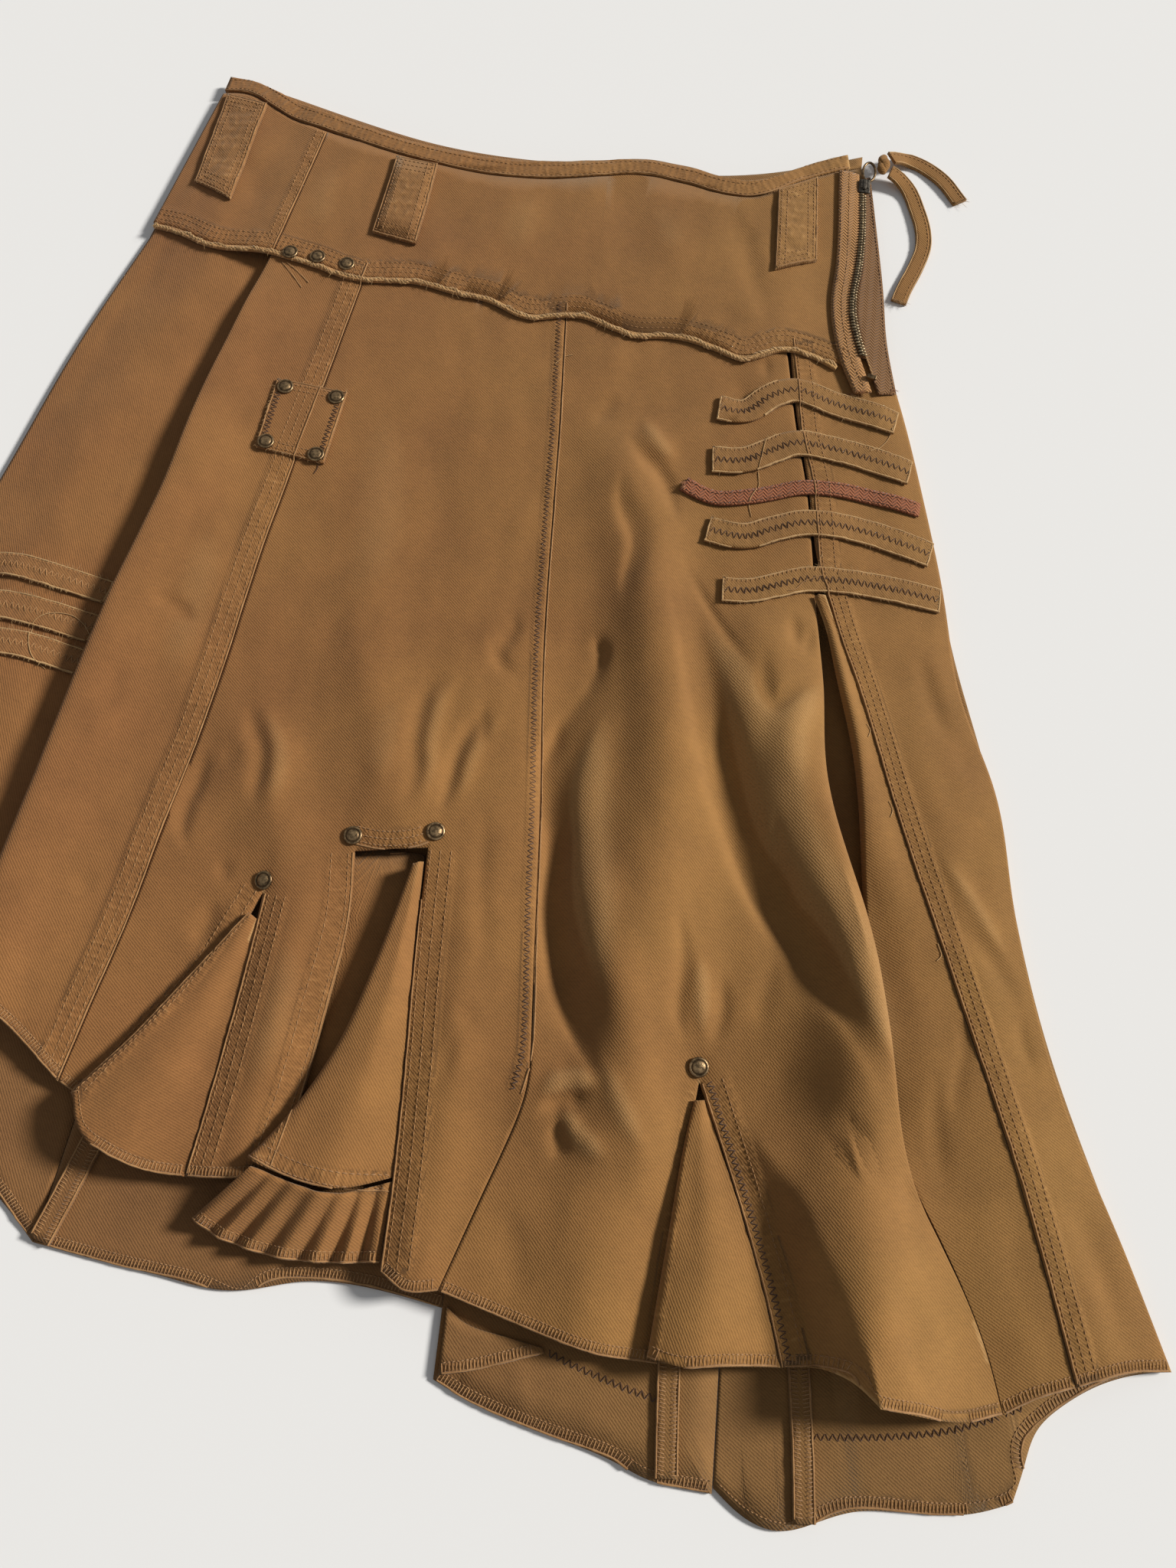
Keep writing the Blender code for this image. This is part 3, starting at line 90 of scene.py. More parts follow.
ALLOWANCES = [
    # name, middle line, width
    ("seam_allowance_left", [(-100, -236), (-108, -268), (-117, -302)], 10.0),
    ("seam_allowance_centre", [(152, -290), (154, -320), (157, -353)], 9.5),
    ("seam_allowance_right", [(203, -284), (209, -325), (213, -361)], 9.0),
]
HEMS = [
    # the piece, and its hem from left to right
    ("side_panel_left", [(-351, -262), (-305, -254), (-258, -236), (-205, -212), (-158, -196)]),
    ("front_panel_left", [(-184, -199), (-158, -214), (-146, -222), (-126, -237)]),
    ("front_panel_centre", [(-126, -237), (-117, -241), (-108, -243)]),
    ("front_panel_centre", [(-60, -268), (-40, -266), (-22, -262)]),
    ("front_panel_centre", [(30, -293), (42, -299), (55, -297)]),
    ("front_panel_right", [(55, -297), (89, -305), (120, -311), (148, -312)]),
    ("front_panel_right", [(198, -306), (222, -303), (230, -312), (251, -314), (268, -316), (288, -311)]),
    ("pleat_gore", [(288.4, -311), (302, -303), (317, -297)]),
    ("side_panel_right", [(317, -297), (338, -289), (358, -286)]),
    ("godet_left", [(-117, -240), (-108, -256), (-92, -264), (-76, -268), (-60, -268)]),
    ("godet_right", [(142, -309), (156, -311), (175, -308), (198, -306)]),
    ("ruffle", RUFFLE_HEM),
    ("back_panel_left", [(-351, -262), (-290, -268), (-220, -268), (-160, -275), (-120, -303)]),
    ("back_panel_middle", [(-120, -303), (-82, -307), (-50, -309), (-28, -313), (-14, -303), (20, -300),
                           (57, -304)]),
    ("back_panel_right", [(58, -331), (77, -338), (104, -344), (133, -349), (148, -355), (176, -356)]),
    ("back_panel_side", [(176, -356), (190, -364), (208, -366), (230, -354), (266, -351), (286, -347),
                         (300, -337), (300, -318), (330, -294), (357, -286)]),
    ("back_hem_fold", [(60, -329), (75, -325), (91, -319), (102, -315)]),
]
STRIPS = [
    # the piece, its middle line and width
    ("hip_strip_right_1", [(125, 153), (140, 153), (152, 164), (166, 171), (184, 167), (221, 160)], 15.5),
    ("hip_strip_right_2", [(125, 120), (142, 122), (156, 130), (170, 137), (196, 136), (230, 130)], 15.5),
    ("hip_strip_right_4", [(127, 78), (146, 76), (162, 83), (180, 89), (208, 89), (243, 82)], 15.0),
    ("hip_strip_right_5", [(138, 44), (152, 45), (166, 50), (182, 56), (210, 58), (249, 56)], 14.0),
    ("hip_strip_left_1", [(-250, 6), (-226, 10), (-196, 6), (-171, 2)], 13.0),
    ("hip_strip_left_2", [(-255, -16), (-224, -13), (-200, -15), (-173, -19)], 15.5),
    ("hip_strip_left_3", [(-260, -36), (-218, -33), (-198, -34), (-174, -38)], 14.0),
]
TAPE_STRIP = [(112, 103), (126, 97), (142, 99), (158, 104), (174, 110), (200, 112), (236, 108)]
TAPE_STRIP_WIDTH = 8.5
LOOPS = [
    # the piece, and its corners: top left, top right, bottom right, bottom left
    ("belt_loop_1", [(-192, 341), (-165, 333), (-169, 258), (-194, 271)]),
    ("belt_loop_2", [(-79, 300), (-54, 297), (-56, 238), (-82, 243)]),
    ("belt_loop_3", [(144, 307), (166, 322), (170, 261), (147, 249)]),
    ("square_patch", [(-113, 138), (-74, 135), (-77, 89), (-115, 94)]),
]
ZIP_LINE = [(192, 330), (194, 291), (194, 262), (192, 236), (195, 214), (208, 176)]
TAPE_FRONT_LEFT = [(178, 329), (181, 268), (180, 232), (186, 200), (197, 174)]
TAPE_BACK_RIGHT = [(197, 331), (203.5, 288), (209, 250), (213, 214), (220, 180)]
TIES = [
    ("tie_upper", [(208.2, 346.4), (213, 349), (220, 351), (229, 348), (241, 338), (251, 324)]),
    ("tie_lower", [(208.1, 335.8), (214.5, 333.5), (221, 327.5), (226, 315), (230, 301), (231, 287),
                   (227, 271), (222, 257), (219, 246)]),
]
TIE_WIDTH = 9.0


# Camera, light and floor

def place_camera():
    data = bpy.data.cameras.new("camera")
    data.sensor_width = 36
    data.lens = 36 * 1538.5 / 2048
    camera = bpy.data.objects.new("camera", data)
    camera.location = (0.1116 - BOX_MIDDLE[0] * MM, -0.2538 - BOX_MIDDLE[1] * MM, 0.539)
    camera.rotation_euler = (math.radians(19.5), 0, math.radians(8))
    SCENE.collection.objects.link(camera)
    SCENE.camera = camera


def light_studio():
    sun = bpy.data.lights.new("window_light", "SUN")
    sun.energy = 4.6
    sun.angle = math.radians(11)
    sun.color = (1.0, 0.97, 0.93)
    holder = bpy.data.objects.new("window_light", sun)
    holder.rotation_euler = (0, math.radians(60), math.radians(20))
    SCENE.collection.objects.link(holder)
    world = bpy.data.worlds.new("room")
    world.use_nodes = True
    SCENE.world = world
    back = world.node_tree.nodes["Background"]
    back.inputs["Color"].default_value = (0.95, 0.97, 1.0, 1)
    back.inputs["Strength"].default_value = 0.23
    SCENE.view_settings.view_transform = "Standard"


def lay_floor():
    mesh = bpy.data.meshes.new("floor")
    mesh.from_pydata([(-4, -4, 0), (4, -4, 0), (4, 4, 0), (-4, 4, 0)], [], [(0, 1, 2, 3)])
    floor = bpy.data.objects.new("floor", mesh)
    floor.location.z = -0.0004
    SCENE.collection.objects.link(floor)
    paint, _, shader = new_finish("floor", 0.9)
    shader.inputs["Base Color"].default_value = (0.86, 0.86, 0.85, 1)
    mesh.materials.append(paint)


# Lines and distances

def nearest(line, x, y):
    """Each point's distance to a line, length along it to there, distance across it, and its whole length."""
    line = np.asarray(line, float)
    best, along, side = np.full(x.shape, 1e9), np.zeros(x.shape), np.zeros(x.shape)
    gone = 0.0
    for start, end in zip(line, line[1:]):
        way = end - start
        length = math.hypot(*way)
        t = np.clip(((x - start[0]) * way[0] + (y - start[1]) * way[1]) / length ** 2, 0, 1)
        off = np.hypot(x - start[0] - t * way[0], y - start[1] - t * way[1])
        turn = way[0] * (y - start[1]) - way[1] * (x - start[0])
        closer = off < best
        along = np.where(closer, gone + t * length, along)
        side = np.where(closer, np.where(turn >= 0, 1.0, -1.0), side)
        best = np.where(closer, off, best)
        gone += length
    return best, along, side * best, gone


def close_to(line, reach, x, y):
    """Which points lie in the line's box grown by reach."""
    low, high = np.min(line, axis=0) - reach, np.max(line, axis=0) + reach
    return (x > low[0]) & (x < high[0]) & (y > low[1]) & (y < high[1])


def smooth(t):
    t = np.clip(t, 0, 1)
    return t * t * (3 - 2 * t)


def curve(points, step):
    """Points about one step apart along the smooth curve through the given ones."""
    held = np.asarray(points, float)
    chain = np.vstack([2 * held[0] - held[1], held, 2 * held[-1] - held[-2]])
    fine = [held[0]]
    for i in range(1, len(chain) - 2):
        a, b, c, d = chain[i - 1:i + 3]
        for t in np.linspace(0, 1, 13)[1:]:
            fine.append(0.5 * (2 * b + (c - a) * t + (2 * a - 5 * b + 4 * c - d) * t * t
                               + (3 * b - 3 * c + d - a) * t ** 3))
    return stepped(np.array(fine), step)


def stepped(line, step):
    along = np.concatenate([[0], np.cumsum(np.linalg.norm(np.diff(line, axis=0), axis=1))])
    count = max(2, int(round(along[-1] / step)) + 1)
    wanted = np.linspace(0, along[-1], count)
    return np.stack([np.interp(wanted, along, line[:, k]) for k in range(line.shape[1])], axis=1)


def beside(line, distance):
    """The line moved across itself, above zero to its right as it runs down."""
    way = np.gradient(line, axis=0)
    way /= np.linalg.norm(way, axis=1, keepdims=True)
    return line + np.stack([-way[:, 1], way[:, 0]], axis=1) * distance


# Creases of the cloth: middle line, height (below zero for a trough), reach to its left and right

CREASES = [
    # front left and centre panels
    ([(-149, 1), (-134, -3), (-125, -8), (-118, -8)], -1.2, 4.0),
    ([(-150, -33), (-151, -46), (-151, -59), (-151, -70)], -0.8, 6.0),
    ([(-85, -47), (-80, -60), (-73, -71), (-71, -83), (-70, -96), (-68, -106)], -1.9, 5.0),
    ([(-76, -45), (-71, -60), (-64, -73), (-61, -90), (-60, -108)], 1.2, 6.0),
    ([(-92, -81), (-86, -78), (-81, -73)], -0.7, 4.0),
    ([(-101, -72), (-99, -82), (-100, -95), (-102, -108), (-99, -121), (-91, -127)], -2.0, 4.5),
    ([(-80, -128), (-73, -139)], -1.0, 4.0),
    ([(-77, -146), (-79, -160), (-83, -172)], -1.5, 5.0),
    ([(-145, -146), (-132, -152)], -0.7, 5.0),
    ([(-128, 60), (-124, 0), (-128, -60)], 0.9, 11.0),
    ([(-60, 150), (-46, 100), (-40, 40), (-48, -10)], 0.8, 16.0),
    ([(-10, 170), (-20, 120), (-14, 70)], -0.7, 13.0),
    ([(4, -15), (5, -22), (0, -31), (-1, -41), (-1, -58), (3, -75), (-1, -98)], -1.5, 5.0),
    ([(12, -14), (13, -24), (8, -36), (7, -58), (10, -75), (7, -96)], 1.2, 5.0),
    ([(-12, -30), (-14, -60), (-12, -90)], 0.8, 9.0),
    ([(32, 20), (38, 10), (31, -4), (35, -13), (42, -15), (43, -23)], -1.5, 4.0),
    ([(31, -27), (30, -37), (22, -55), (20, -73), (19, -88), (17, -98)], -1.8, 4.0),
    ([(39, -29), (37, -42), (29, -60), (27, -76), (25, -94)], 1.0, 4.5),
    ([(30, -37), (34, -58)], -0.8, 3.5),
    ([(39, -79), (43, -122), (49, -151), (47, -167), (43, -173)], -0.9, 5.0),
    ([(42, -179), (53, -189)], -0.8, 4.0),
    ([(44, -193), (42, -207), (45, -215)], -0.8, 4.0),
    ([(-40, -150), (-36, -190), (-40, -240)], 0.9, 9.0),
    # front right panel
    ([(75, 14), (81, 6), (79, -27)], -1.0, 5.0),
    ([(64, -35), (67, -45), (62, -63)], -0.9, 4.0),
    ([(71, -72), (80, -86), (76, -117), (82, -146), (92, -180), (111, -203)], -2.2, 8.0),
    ([(108, 55), (121, 12), (132, -25), (141, -52), (151, -78), (167, -108), (185, -129), (201, -149),
      (224, -184), (240, -215)], -3.6, 4.5, 13.0),
    ([(122, 40), (146, -2), (160, -40), (176, -84), (200, -120), (226, -160), (244, -200)], 4.8, 8.0, 14.0),
    ([(79, 6), (81, -13), (66, -44), (63, -68), (71, -100), (74, -128), (83, -156), (95, -184), (112, -207),
      (128, -224)], -2.8, 3.6, 9.0),
    ([(92, -20), (84, -60), (86, -96), (96, -140), (112, -180)], 3.2, 7.0, 12.0),
    ([(75, 11), (83, 2), (81, -11)], -1.4, 3.0),
    ([(104, -189), (121, -215), (135, -234)], 1.6, 5.0),
    ([(82, -215), (94, -207), (103, -205), (112, -202)], 2.6, 5.0),
    ([(84, -221), (95, -214), (109, -211)], -2.6, 3.5),
    ([(97, -213), (99, -224), (110, -232), (120, -236)], 2.2, 4.5),
    ([(93, -221), (96, -234), (103, -238)], -2.0, 4.0),
    ([(134, -119), (139, -144), (140, -170), (147, -186)], -1.8, 4.0),
    ([(157, -147), (160, -167), (156, -185)], -1.6, 4.0),
    ([(146, -139), (151, -166), (152, -182)], 1.6, 4.5),
    ([(198, 4), (184, -14), (178, -38), (184, -66)], 2.0, 8.0),
    ([(163, 14), (163, -4), (169, -17), (181, -6), (192, -3)], -1.8, 5.0),
    ([(175, 35), (178, 13)], -1.8, 4.0),
    ([(186, 29), (181, 11)], -1.2, 3.0),
    ([(174, -70), (178, -92), (189, -116)], -1.2, 3.5),
    ([(78, 131), (88, 118), (100, 107), (106, 94), (112, 78)], -2.6, 5.0),
    ([(84, 142), (96, 126), (108, 114)], 1.4, 5.0),
    ([(80, 108), (81, 87), (91, 64), (89, 40), (93, 26)], -2.6, 4.0, 9.0),
    ([(115, 60), (128, 41), (142, 20), (160, -2)], -1.2, 2.4),
    ([(70, 157), (61, 132)], -0.8, 5.0),
    ([(134, 179), (139, 147)], -1.1, 5.0),
    ([(146, 192), (150, 176)], -1.0, 3.0),
    ([(167, -68), (170, -88), (182, -103), (187, -118), (194, -122), (205, -141), (210, -156), (222, -177)],
     -1.5, 4.0),
    ([(184, -105), (197, -122), (207, -138), (213, -148)], -1.2, 5.0),
    ([(183, -135), (189, -141), (201, -155), (212, -166)], -1.3, 6.0),
    ([(211, -149), (221, -160), (232, -181)], 1.0, 5.0),
    ([(223, -204), (220, -211), (210, -204)], -1.0, 6.0),
    ([(240, -227), (249, -239)], -1.4, 4.0),
    ([(182, -137), (177, -160), (176, -175)], -1.0, 5.0),
    ([(212, -210), (232, -200)], -0.6, 4.0),
    ([(184, -235), (205, -257)], -1.1, 5.0),
    ([(78, -262), (84, -280), (88, -300)], -0.9, 7.0),
    ([(240, -258), (246, -284), (252, -308)], -1.2, 7.0),
    # gore and right side panel
    ([(249, -76), (262, -90), (282, -117), (293, -130)], 1.2, 4.0),
    ([(238, 26), (248, 2), (258, -25)], -1.2, 6.0),
    ([(259, -106), (275, -122), (290, -138), (295, -153)], -1.2, 5.0),
    ([(297, -142), (295, -154), (297, -165), (304, -176)], -1.5, 4.0),
    ([(255, -3), (263, -19), (265, -41)], -1.2, 7.0),
    ([(262, -152), (268, -165), (266, -181), (262, -203)], -0.9, 3.5),
    ([(256, -177), (257, -201), (262, -232)], -0.9, 4.5),
    ([(240, 30), (252, -30), (262, -70)], -0.8, 10.0),
    ([(318, -214), (326, -240), (336, -270)], -0.9, 8.0),
    # left side panel
    ([(-180, 120), (-192, 60), (-204, 20)], -0.9, 12.0),
    ([(-180, -40), (-196, -90), (-214, -150), (-230, -210)], -1.2, 11.0),
    ([(-216, -60), (-236, -120), (-262, -190), (-280, -230)], 1.0, 13.0),
    ([(-262, -70), (-270, -120), (-292, -200)], -0.9, 9.0),
    # yokes
    ([(-60, 290), (-40, 262), (-36, 236)], -0.9, 11.0),
    ([(10, 290), (0, 262), (6, 232)], 0.8, 12.0),
    ([(40, 300), (64, 276), (70, 244)], -1.0, 11.0),
    ([(60, 290), (84, 268), (92, 246)], 0.9, 10.0),
    ([(110, 296), (128, 268), (140, 230), (150, 206)], -1.5, 8.0),
    ([(-110, 300), (-116, 262), (-106, 234)], 0.8, 10.0),
    ([(-176, 300), (-160, 274), (-150, 250)], -1.0, 8.0),
]
# The back rests flat, so its own creases only rise, and only a little.
BACK_CREASES = [
    ([(-160, 190), (-190, 60), (-210, -60)], 0.5, 8.0),
    ([(-30, 180), (-40, 20), (-52, -150)], 0.5, 9.0),
    ([(70, 190), (84, 40), (90, -110)], 0.5, 8.0),
    ([(190, 150), (206, 20), (230, -120)], 0.5, 9.0),
    ([(-80, -60), (-60, -140), (-70, -240)], 0.4, 7.0),
    ([(110, -120), (126, -200), (120, -290)], 0.5, 7.0),
    ([(240, -150), (262, -240), (270, -330)], 0.6, 8.0),
    ([(90, -318), (96, -336)], 0.8, 6.0),
    ([(226, -318), (232, -344)], 0.8, 6.0),
]

# Sewn bands, where a seam's folded layers are thicker and puckered
BANDS = [
    # line, from and to (distances across it), pitch of the puckers, how far the band stands up
    (SEAM_A, -12.5, -0.2, 3.4, 0.5),
    (SEAM_B_SEWN, -6.0, 0.0, 2.4, 0.25),
    (SEAM_C, 0.2, 11.0, 3.0, 0.6),
    (RIGHT_FOLD_TOP, 1.0, 12.0, 3.4, 0.4),
    (GODET_LEFT_SEAM, 0.2, 12.0, 3.2, 0.5),
    (SLIT_LEFT, -11.0, 0.0, 3.2, 0.3),
    (SLIT_MIDDLE, -12.5, 0.0, 3.2, 0.4),
    (GODET_MIDDLE_SEAM, 0.2, 14.0, 3.4, 0.5),
    (GODET_RIGHT_SEAM, 0.2, 12.5, 3.0, 0.5),
    (SLIT_RIGHT, -5.0, 0.0, 3.0, 0.2),
    (MIDDLE_SLIT_TOP, 0.0, 11.0, 3.0, 0.3),
    (FLAP_LOW, 0.0, 8.0, 3.2, 0.3),
    (YOKE_LOW, 0.0, 12.0, 3.4, 0.3),
    (YOKE_SEAM, -8.0, 0.0, 3.2, 0.3),
    (BINDING_LOW, 0.0, 14.0, 4.0, 0.0),
]
SEAM_SHARE, STRIP_SHARE, LOOP_SHARE, HEM_SHARE = 0.6, 0.35, 0.8, 0.5     # how strongly each puckers
OWN_BANDS = {
    # the pieces that have only their own band
    **{name: (line, -width / 2, width / 2, 4.6, 0.0, STRIP_SHARE) for name, line, width in STRIPS},
    **{name: ([((c[0][0] + c[1][0]) / 2, (c[0][1] + c[1][1]) / 2),
               ((c[2][0] + c[3][0]) / 2, (c[2][1] + c[3][1]) / 2)], -14.0, 14.0, 6.0, 0.0, LOOP_SHARE)
       for name, c in LOOPS if name != "square_patch"},
}
PLAIN = ("square_patch", "tie", "zip", "yoke_raw", "hip_strip_right_3")      # no band at all
PUCKER = 0.35          # depth of the modelled puckers in a band


def bands_of(node):
    if node in OWN_BANDS:
        return [OWN_BANDS[node]]
    if node.startswith(PLAIN):
        return []
    hems = [(hem, 0.0, 5.0, 3.6, 0.0, HEM_SHARE) for name, hem in HEMS if name == node]
    if node.startswith(("back", "seam")):
        return hems
    return [(*band, SEAM_SHARE) for band in BANDS] + hems


def ripple(x, y, size, seed):
    return np.array([noise.noise((px / size[0], py / size[1], seed)) for px, py in zip(x, y)])


def crease_height(rows, x, y):
    """The height in millimetres that the creases add: each fades to nothing at its two ends."""
    height = np.zeros(len(x))
    for line, deep, *reaches in rows:
        line = curve(line, 7)
        near = close_to(line, 2.6 * max(reaches), x, y)
        if near.any():
            off, along, side, length = nearest(line, x[near], y[near])
            part = np.clip(along / length, 0, 1)
            fade = smooth(part / 0.38) * smooth((1 - part) / 0.38)
            reach = np.where(side > 0, reaches[-1], reaches[0]) * (0.55 + 0.45 * fade)
            height[near] += deep * fade * np.exp(-(off / reach) ** 2)
    return height


def banded(rows, x, y):
    """How much of a sewn band each point has, its length along and distance across it, and its rise."""
    share, along, across, rise = (np.zeros(x.shape) for _ in range(4))
    for line, low, high, pitch, up, strength in rows:
        line = curve(line, 6)
        near = close_to(line, max(-low, high) + 3, x, y)
        if near.any():
            _, gone, side, length = nearest(line, x[near], y[near])
            inside = smooth((side - low + 1) / 1.6) * smooth((high + 0.6 - side) / 1.6)
            inside *= smooth(gone / 3 + 0.3) * smooth((length - gone) / 3 + 0.3) * strength
            ids = np.flatnonzero(near)[inside > share[near]]
            keep = inside > share[near]
            share[ids], along[ids], across[ids] = inside[keep], gone[keep] / pitch, side[keep]
            rise[ids] = up * inside[keep] / strength
    return share, along, across, rise


# Node trees

def add(tree, kind, given=None, **settings):
    """One node with its settings. An input is given a value, or another node's socket to link."""
    made = tree.nodes.new(kind)
    for name, value in settings.items():
        setattr(made, name, value)
    for name, value in (given or {}).items():
        if isinstance(value, bpy.types.NodeSocket):
            tree.links.new(value, made.inputs[name])
        else:
            made.inputs[name].default_value = value
    return made


def maths(tree, operation, *terms):
    return add(tree, "ShaderNodeMath", dict(enumerate(terms)), operation=operation).outputs[0]


def total(tree, *terms):
    out = terms[0]
    for term in terms[1:]:
        out = maths(tree, "ADD", out, term)
    return out


def ranged(tree, value, low, high, to_low, to_high):
    given = {0: value, 1: low, 2: high, 3: to_low, 4: to_high}
    return add(tree, "ShaderNodeMapRange", given).outputs[0]


def mixed(tree, share, first, second):
    given = {0: share, 6: first, 7: second}
    return add(tree, "ShaderNodeMix", given, data_type="RGBA").outputs[2]


def grainy(tree, place, scale, detail=2.0, rough=0.5):
    """Noise from -1 to 1."""
    given = {"Vector": place, "Scale": scale, "Detail": detail, "Roughness": rough}
    made = add(tree, "ShaderNodeTexNoise", given)
    return ranged(tree, made.outputs["Fac"], 0.25, 0.75, -1.0, 1.0)


def read(tree, name):
    return add(tree, "ShaderNodeAttribute", attribute_name=name).outputs["Fac"]


def new_finish(name, roughness, metallic=0.0):
    paint = bpy.data.materials.new(name)
    paint.use_nodes = True
    shader = paint.node_tree.nodes["Principled BSDF"]
    shader.inputs["Roughness"].default_value = roughness
    shader.inputs["Metallic"].default_value = metallic
    shader.inputs["Specular IOR Level"].default_value = 0.25
    return paint, paint.node_tree, shader


def raised(tree, shader, height):
    """Bump from a height in millimetres."""
    given = {"Height": height, "Distance": MM, "Strength": 1.0}
    tree.links.new(add(tree, "ShaderNodeBump", given).outputs["Normal"], shader.inputs["Normal"])


def twill(name, colour, worn, deep, weave=1.0, wear_and_highlight_scale=1.0, pucker=1.0):
    """Washed cotton twill: diagonal lines, flecked yarn, faded patches, worn rims, puckered bands, painted light
    and shade on the puckers and a painted highlight on fold crests.
    """
    paint, tree, shader = new_finish(name, 0.88)
    shader.inputs["Sheen Weight"].default_value = 0.18
    shader.inputs["Sheen Roughness"].default_value = 0.5
    shader.inputs["Sheen Tint"].default_value = (1.0, 0.86, 0.66, 1)
    grain = add(tree, "ShaderNodeUVMap", uv_map="grain").outputs[0]
    place = add(tree, "ShaderNodeTexCoord").outputs["Object"]
    lines = add(tree, "ShaderNodeTexWave", {"Vector": grain, "Scale": 0.444 / 1.1, "Distortion": 1.6,
                                            "Detail": 2.0, "Detail Scale": 1.4, "Detail Roughness": 0.6},
                wave_type="BANDS", bands_direction="DIAGONAL").outputs["Fac"]
    lines = ranged(tree, lines, 0.0, 1.0, -1.0, 1.0)
    yarn = add(tree, "ShaderNodeMapping", {"Vector": grain, "Scale": (0.16, 1.5, 1.0)}).outputs[0]
    streak = grainy(tree, yarn, 1.0, 3.0, 0.6)
    fleck = grainy(tree, grain, 1.1, 3.0, 0.7)
    slub = grainy(tree, add(tree, "ShaderNodeMapping", {"Vector": grain, "Scale": (0.22, 0.55, 1.0)}).outputs[0],
                  1.0, 3.0, 0.65)
    faded = grainy(tree, place, 9.0, 3.0, 0.55)
    patchy = grainy(tree, place, 42.0, 3.0, 0.6)
    band, along, across = read(tree, "band"), read(tree, "along"), read(tree, "across")
    cell = add(tree, "ShaderNodeCombineXYZ", {0: along, 1: maths(tree, "DIVIDE", across, 4.5)}).outputs[0]
    gather = grainy(tree, cell, 1.0, 1.5, 0.5)
    rungs = add(tree, "ShaderNodeTexWave", {"Vector": cell, "Scale": 0.314, "Distortion": 2.5, "Detail": 1.0,
                                            "Detail Scale": 1.0}, bands_direction="X").outputs["Fac"]
    gather = total(tree, gather, ranged(tree, rungs, 0.0, 1.0, -0.35, 0.35))
    gather = maths(tree, "MULTIPLY", gather, band)
    # The gather term paints pucker tops lighter and their hollows darker: painted light and shade.
    value = total(tree, 1.0,
                  maths(tree, "MULTIPLY", lines, 0.07 * weave),
                  maths(tree, "MULTIPLY", streak, 0.05),
                  maths(tree, "MULTIPLY", fleck, 0.12),
                  maths(tree, "MULTIPLY", slub, 0.07),
                  maths(tree, "MULTIPLY", faded, 0.11),
                  maths(tree, "MULTIPLY", patchy, 0.10),
                  maths(tree, "MULTIPLY", gather, 0.16 * pucker))
    side = add(tree, "ShaderNodeSeparateXYZ", {0: place}).outputs[0]
    hue = total(tree, ranged(tree, side, -0.3, 0.3, 0.492, 0.506), maths(tree, "MULTIPLY", faded, 0.004))
    base = mixed(tree, ranged(tree, fleck, 0.25, 1.0, 0.0, 0.4), (*colour, 1), (*deep, 1))
    base = add(tree, "ShaderNodeHueSaturation", {"Hue": hue, "Value": value, "Color": base}).outputs[0]
    # The worn colour takes real wear on the rims, and a painted highlight on fold crests and pucker ridges.
    rim = ranged(tree, read(tree, "rim"), 0.2, 1.5, 1.0, 0.0)
    wear_and_highlight = maths(tree, "MULTIPLY", rim, ranged(tree, patchy, -0.8, 0.6, 0.35, 1.0))
    # Painted highlight: fold crests are mixed towards the worn colour, flecked.
    crest = maths(tree, "MULTIPLY", ranged(tree, read(tree, "crest"), 0.3, 1.6, 0.0, 0.30),
                  ranged(tree, fleck, -0.6, 0.6, 0.4, 1.0))
    # Pucker ridges mixed towards the worn colour: seam wear and a painted highlight.
    ridge = maths(tree, "MULTIPLY", ranged(tree, gather, 0.35, 1.2, 0.0, 0.30), pucker)
    wear_and_highlight = maths(tree, "MULTIPLY", total(tree, maths(tree, "MULTIPLY", wear_and_highlight, 0.75), crest, ridge), wear_and_highlight_scale)
    colour_out = mixed(tree, wear_and_highlight, base, (*worn, 1))
    tree.links.new(colour_out, shader.inputs["Base Color"])
    height = total(tree, maths(tree, "MULTIPLY", lines, 0.05 * weave),
                   maths(tree, "MULTIPLY", fleck, 0.05),
                   maths(tree, "MULTIPLY", streak, 0.02),
                   maths(tree, "MULTIPLY", patchy, 0.12),
                   maths(tree, "MULTIPLY", gather, 0.24 * pucker))
    raised(tree, shader, height)
    return paint


def herringbone(name, colour, worn, deep, column=5.0):
    """Woven tape: slanted lines that turn back at each column, darker where a sewn band is marked."""
    paint, tree, shader = new_finish(name, 0.85)
    shader.inputs["Sheen Weight"].default_value = 0.15
    grain = add(tree, "ShaderNodeUVMap", uv_map="grain").outputs[0]
    split = add(tree, "ShaderNodeSeparateXYZ", {0: grain}).outputs
    slant = maths(tree, "PINGPONG", split[0], column / 2)
    chevron = maths(tree, "SINE", maths(tree, "MULTIPLY", total(tree, split[1], slant), 2 * math.pi / 2.0))
    fleck = grainy(tree, grain, 1.2, 3.0, 0.7)
    patchy = grainy(tree, add(tree, "ShaderNodeTexCoord").outputs["Object"], 60.0, 3.0, 0.6)
    value = total(tree, 1.0, maths(tree, "MULTIPLY", chevron, 0.26), maths(tree, "MULTIPLY", fleck, 0.10),
                  maths(tree, "MULTIPLY", patchy, 0.10))
    base = mixed(tree, read(tree, "band"), (*colour, 1), (*deep, 1))
    base = add(tree, "ShaderNodeHueSaturation", {"Value": value, "Color": base}).outputs[0]
    rim = ranged(tree, read(tree, "rim"), 0.2, 1.3, 0.55, 0.0)
    tree.links.new(mixed(tree, rim, base, (*worn, 1)), shader.inputs["Base Color"])
    raised(tree, shader, total(tree, maths(tree, "MULTIPLY", chevron, 0.18),
                               maths(tree, "MULTIPLY", fleck, 0.05), maths(tree, "MULTIPLY", patchy, 0.1)))
    return paint


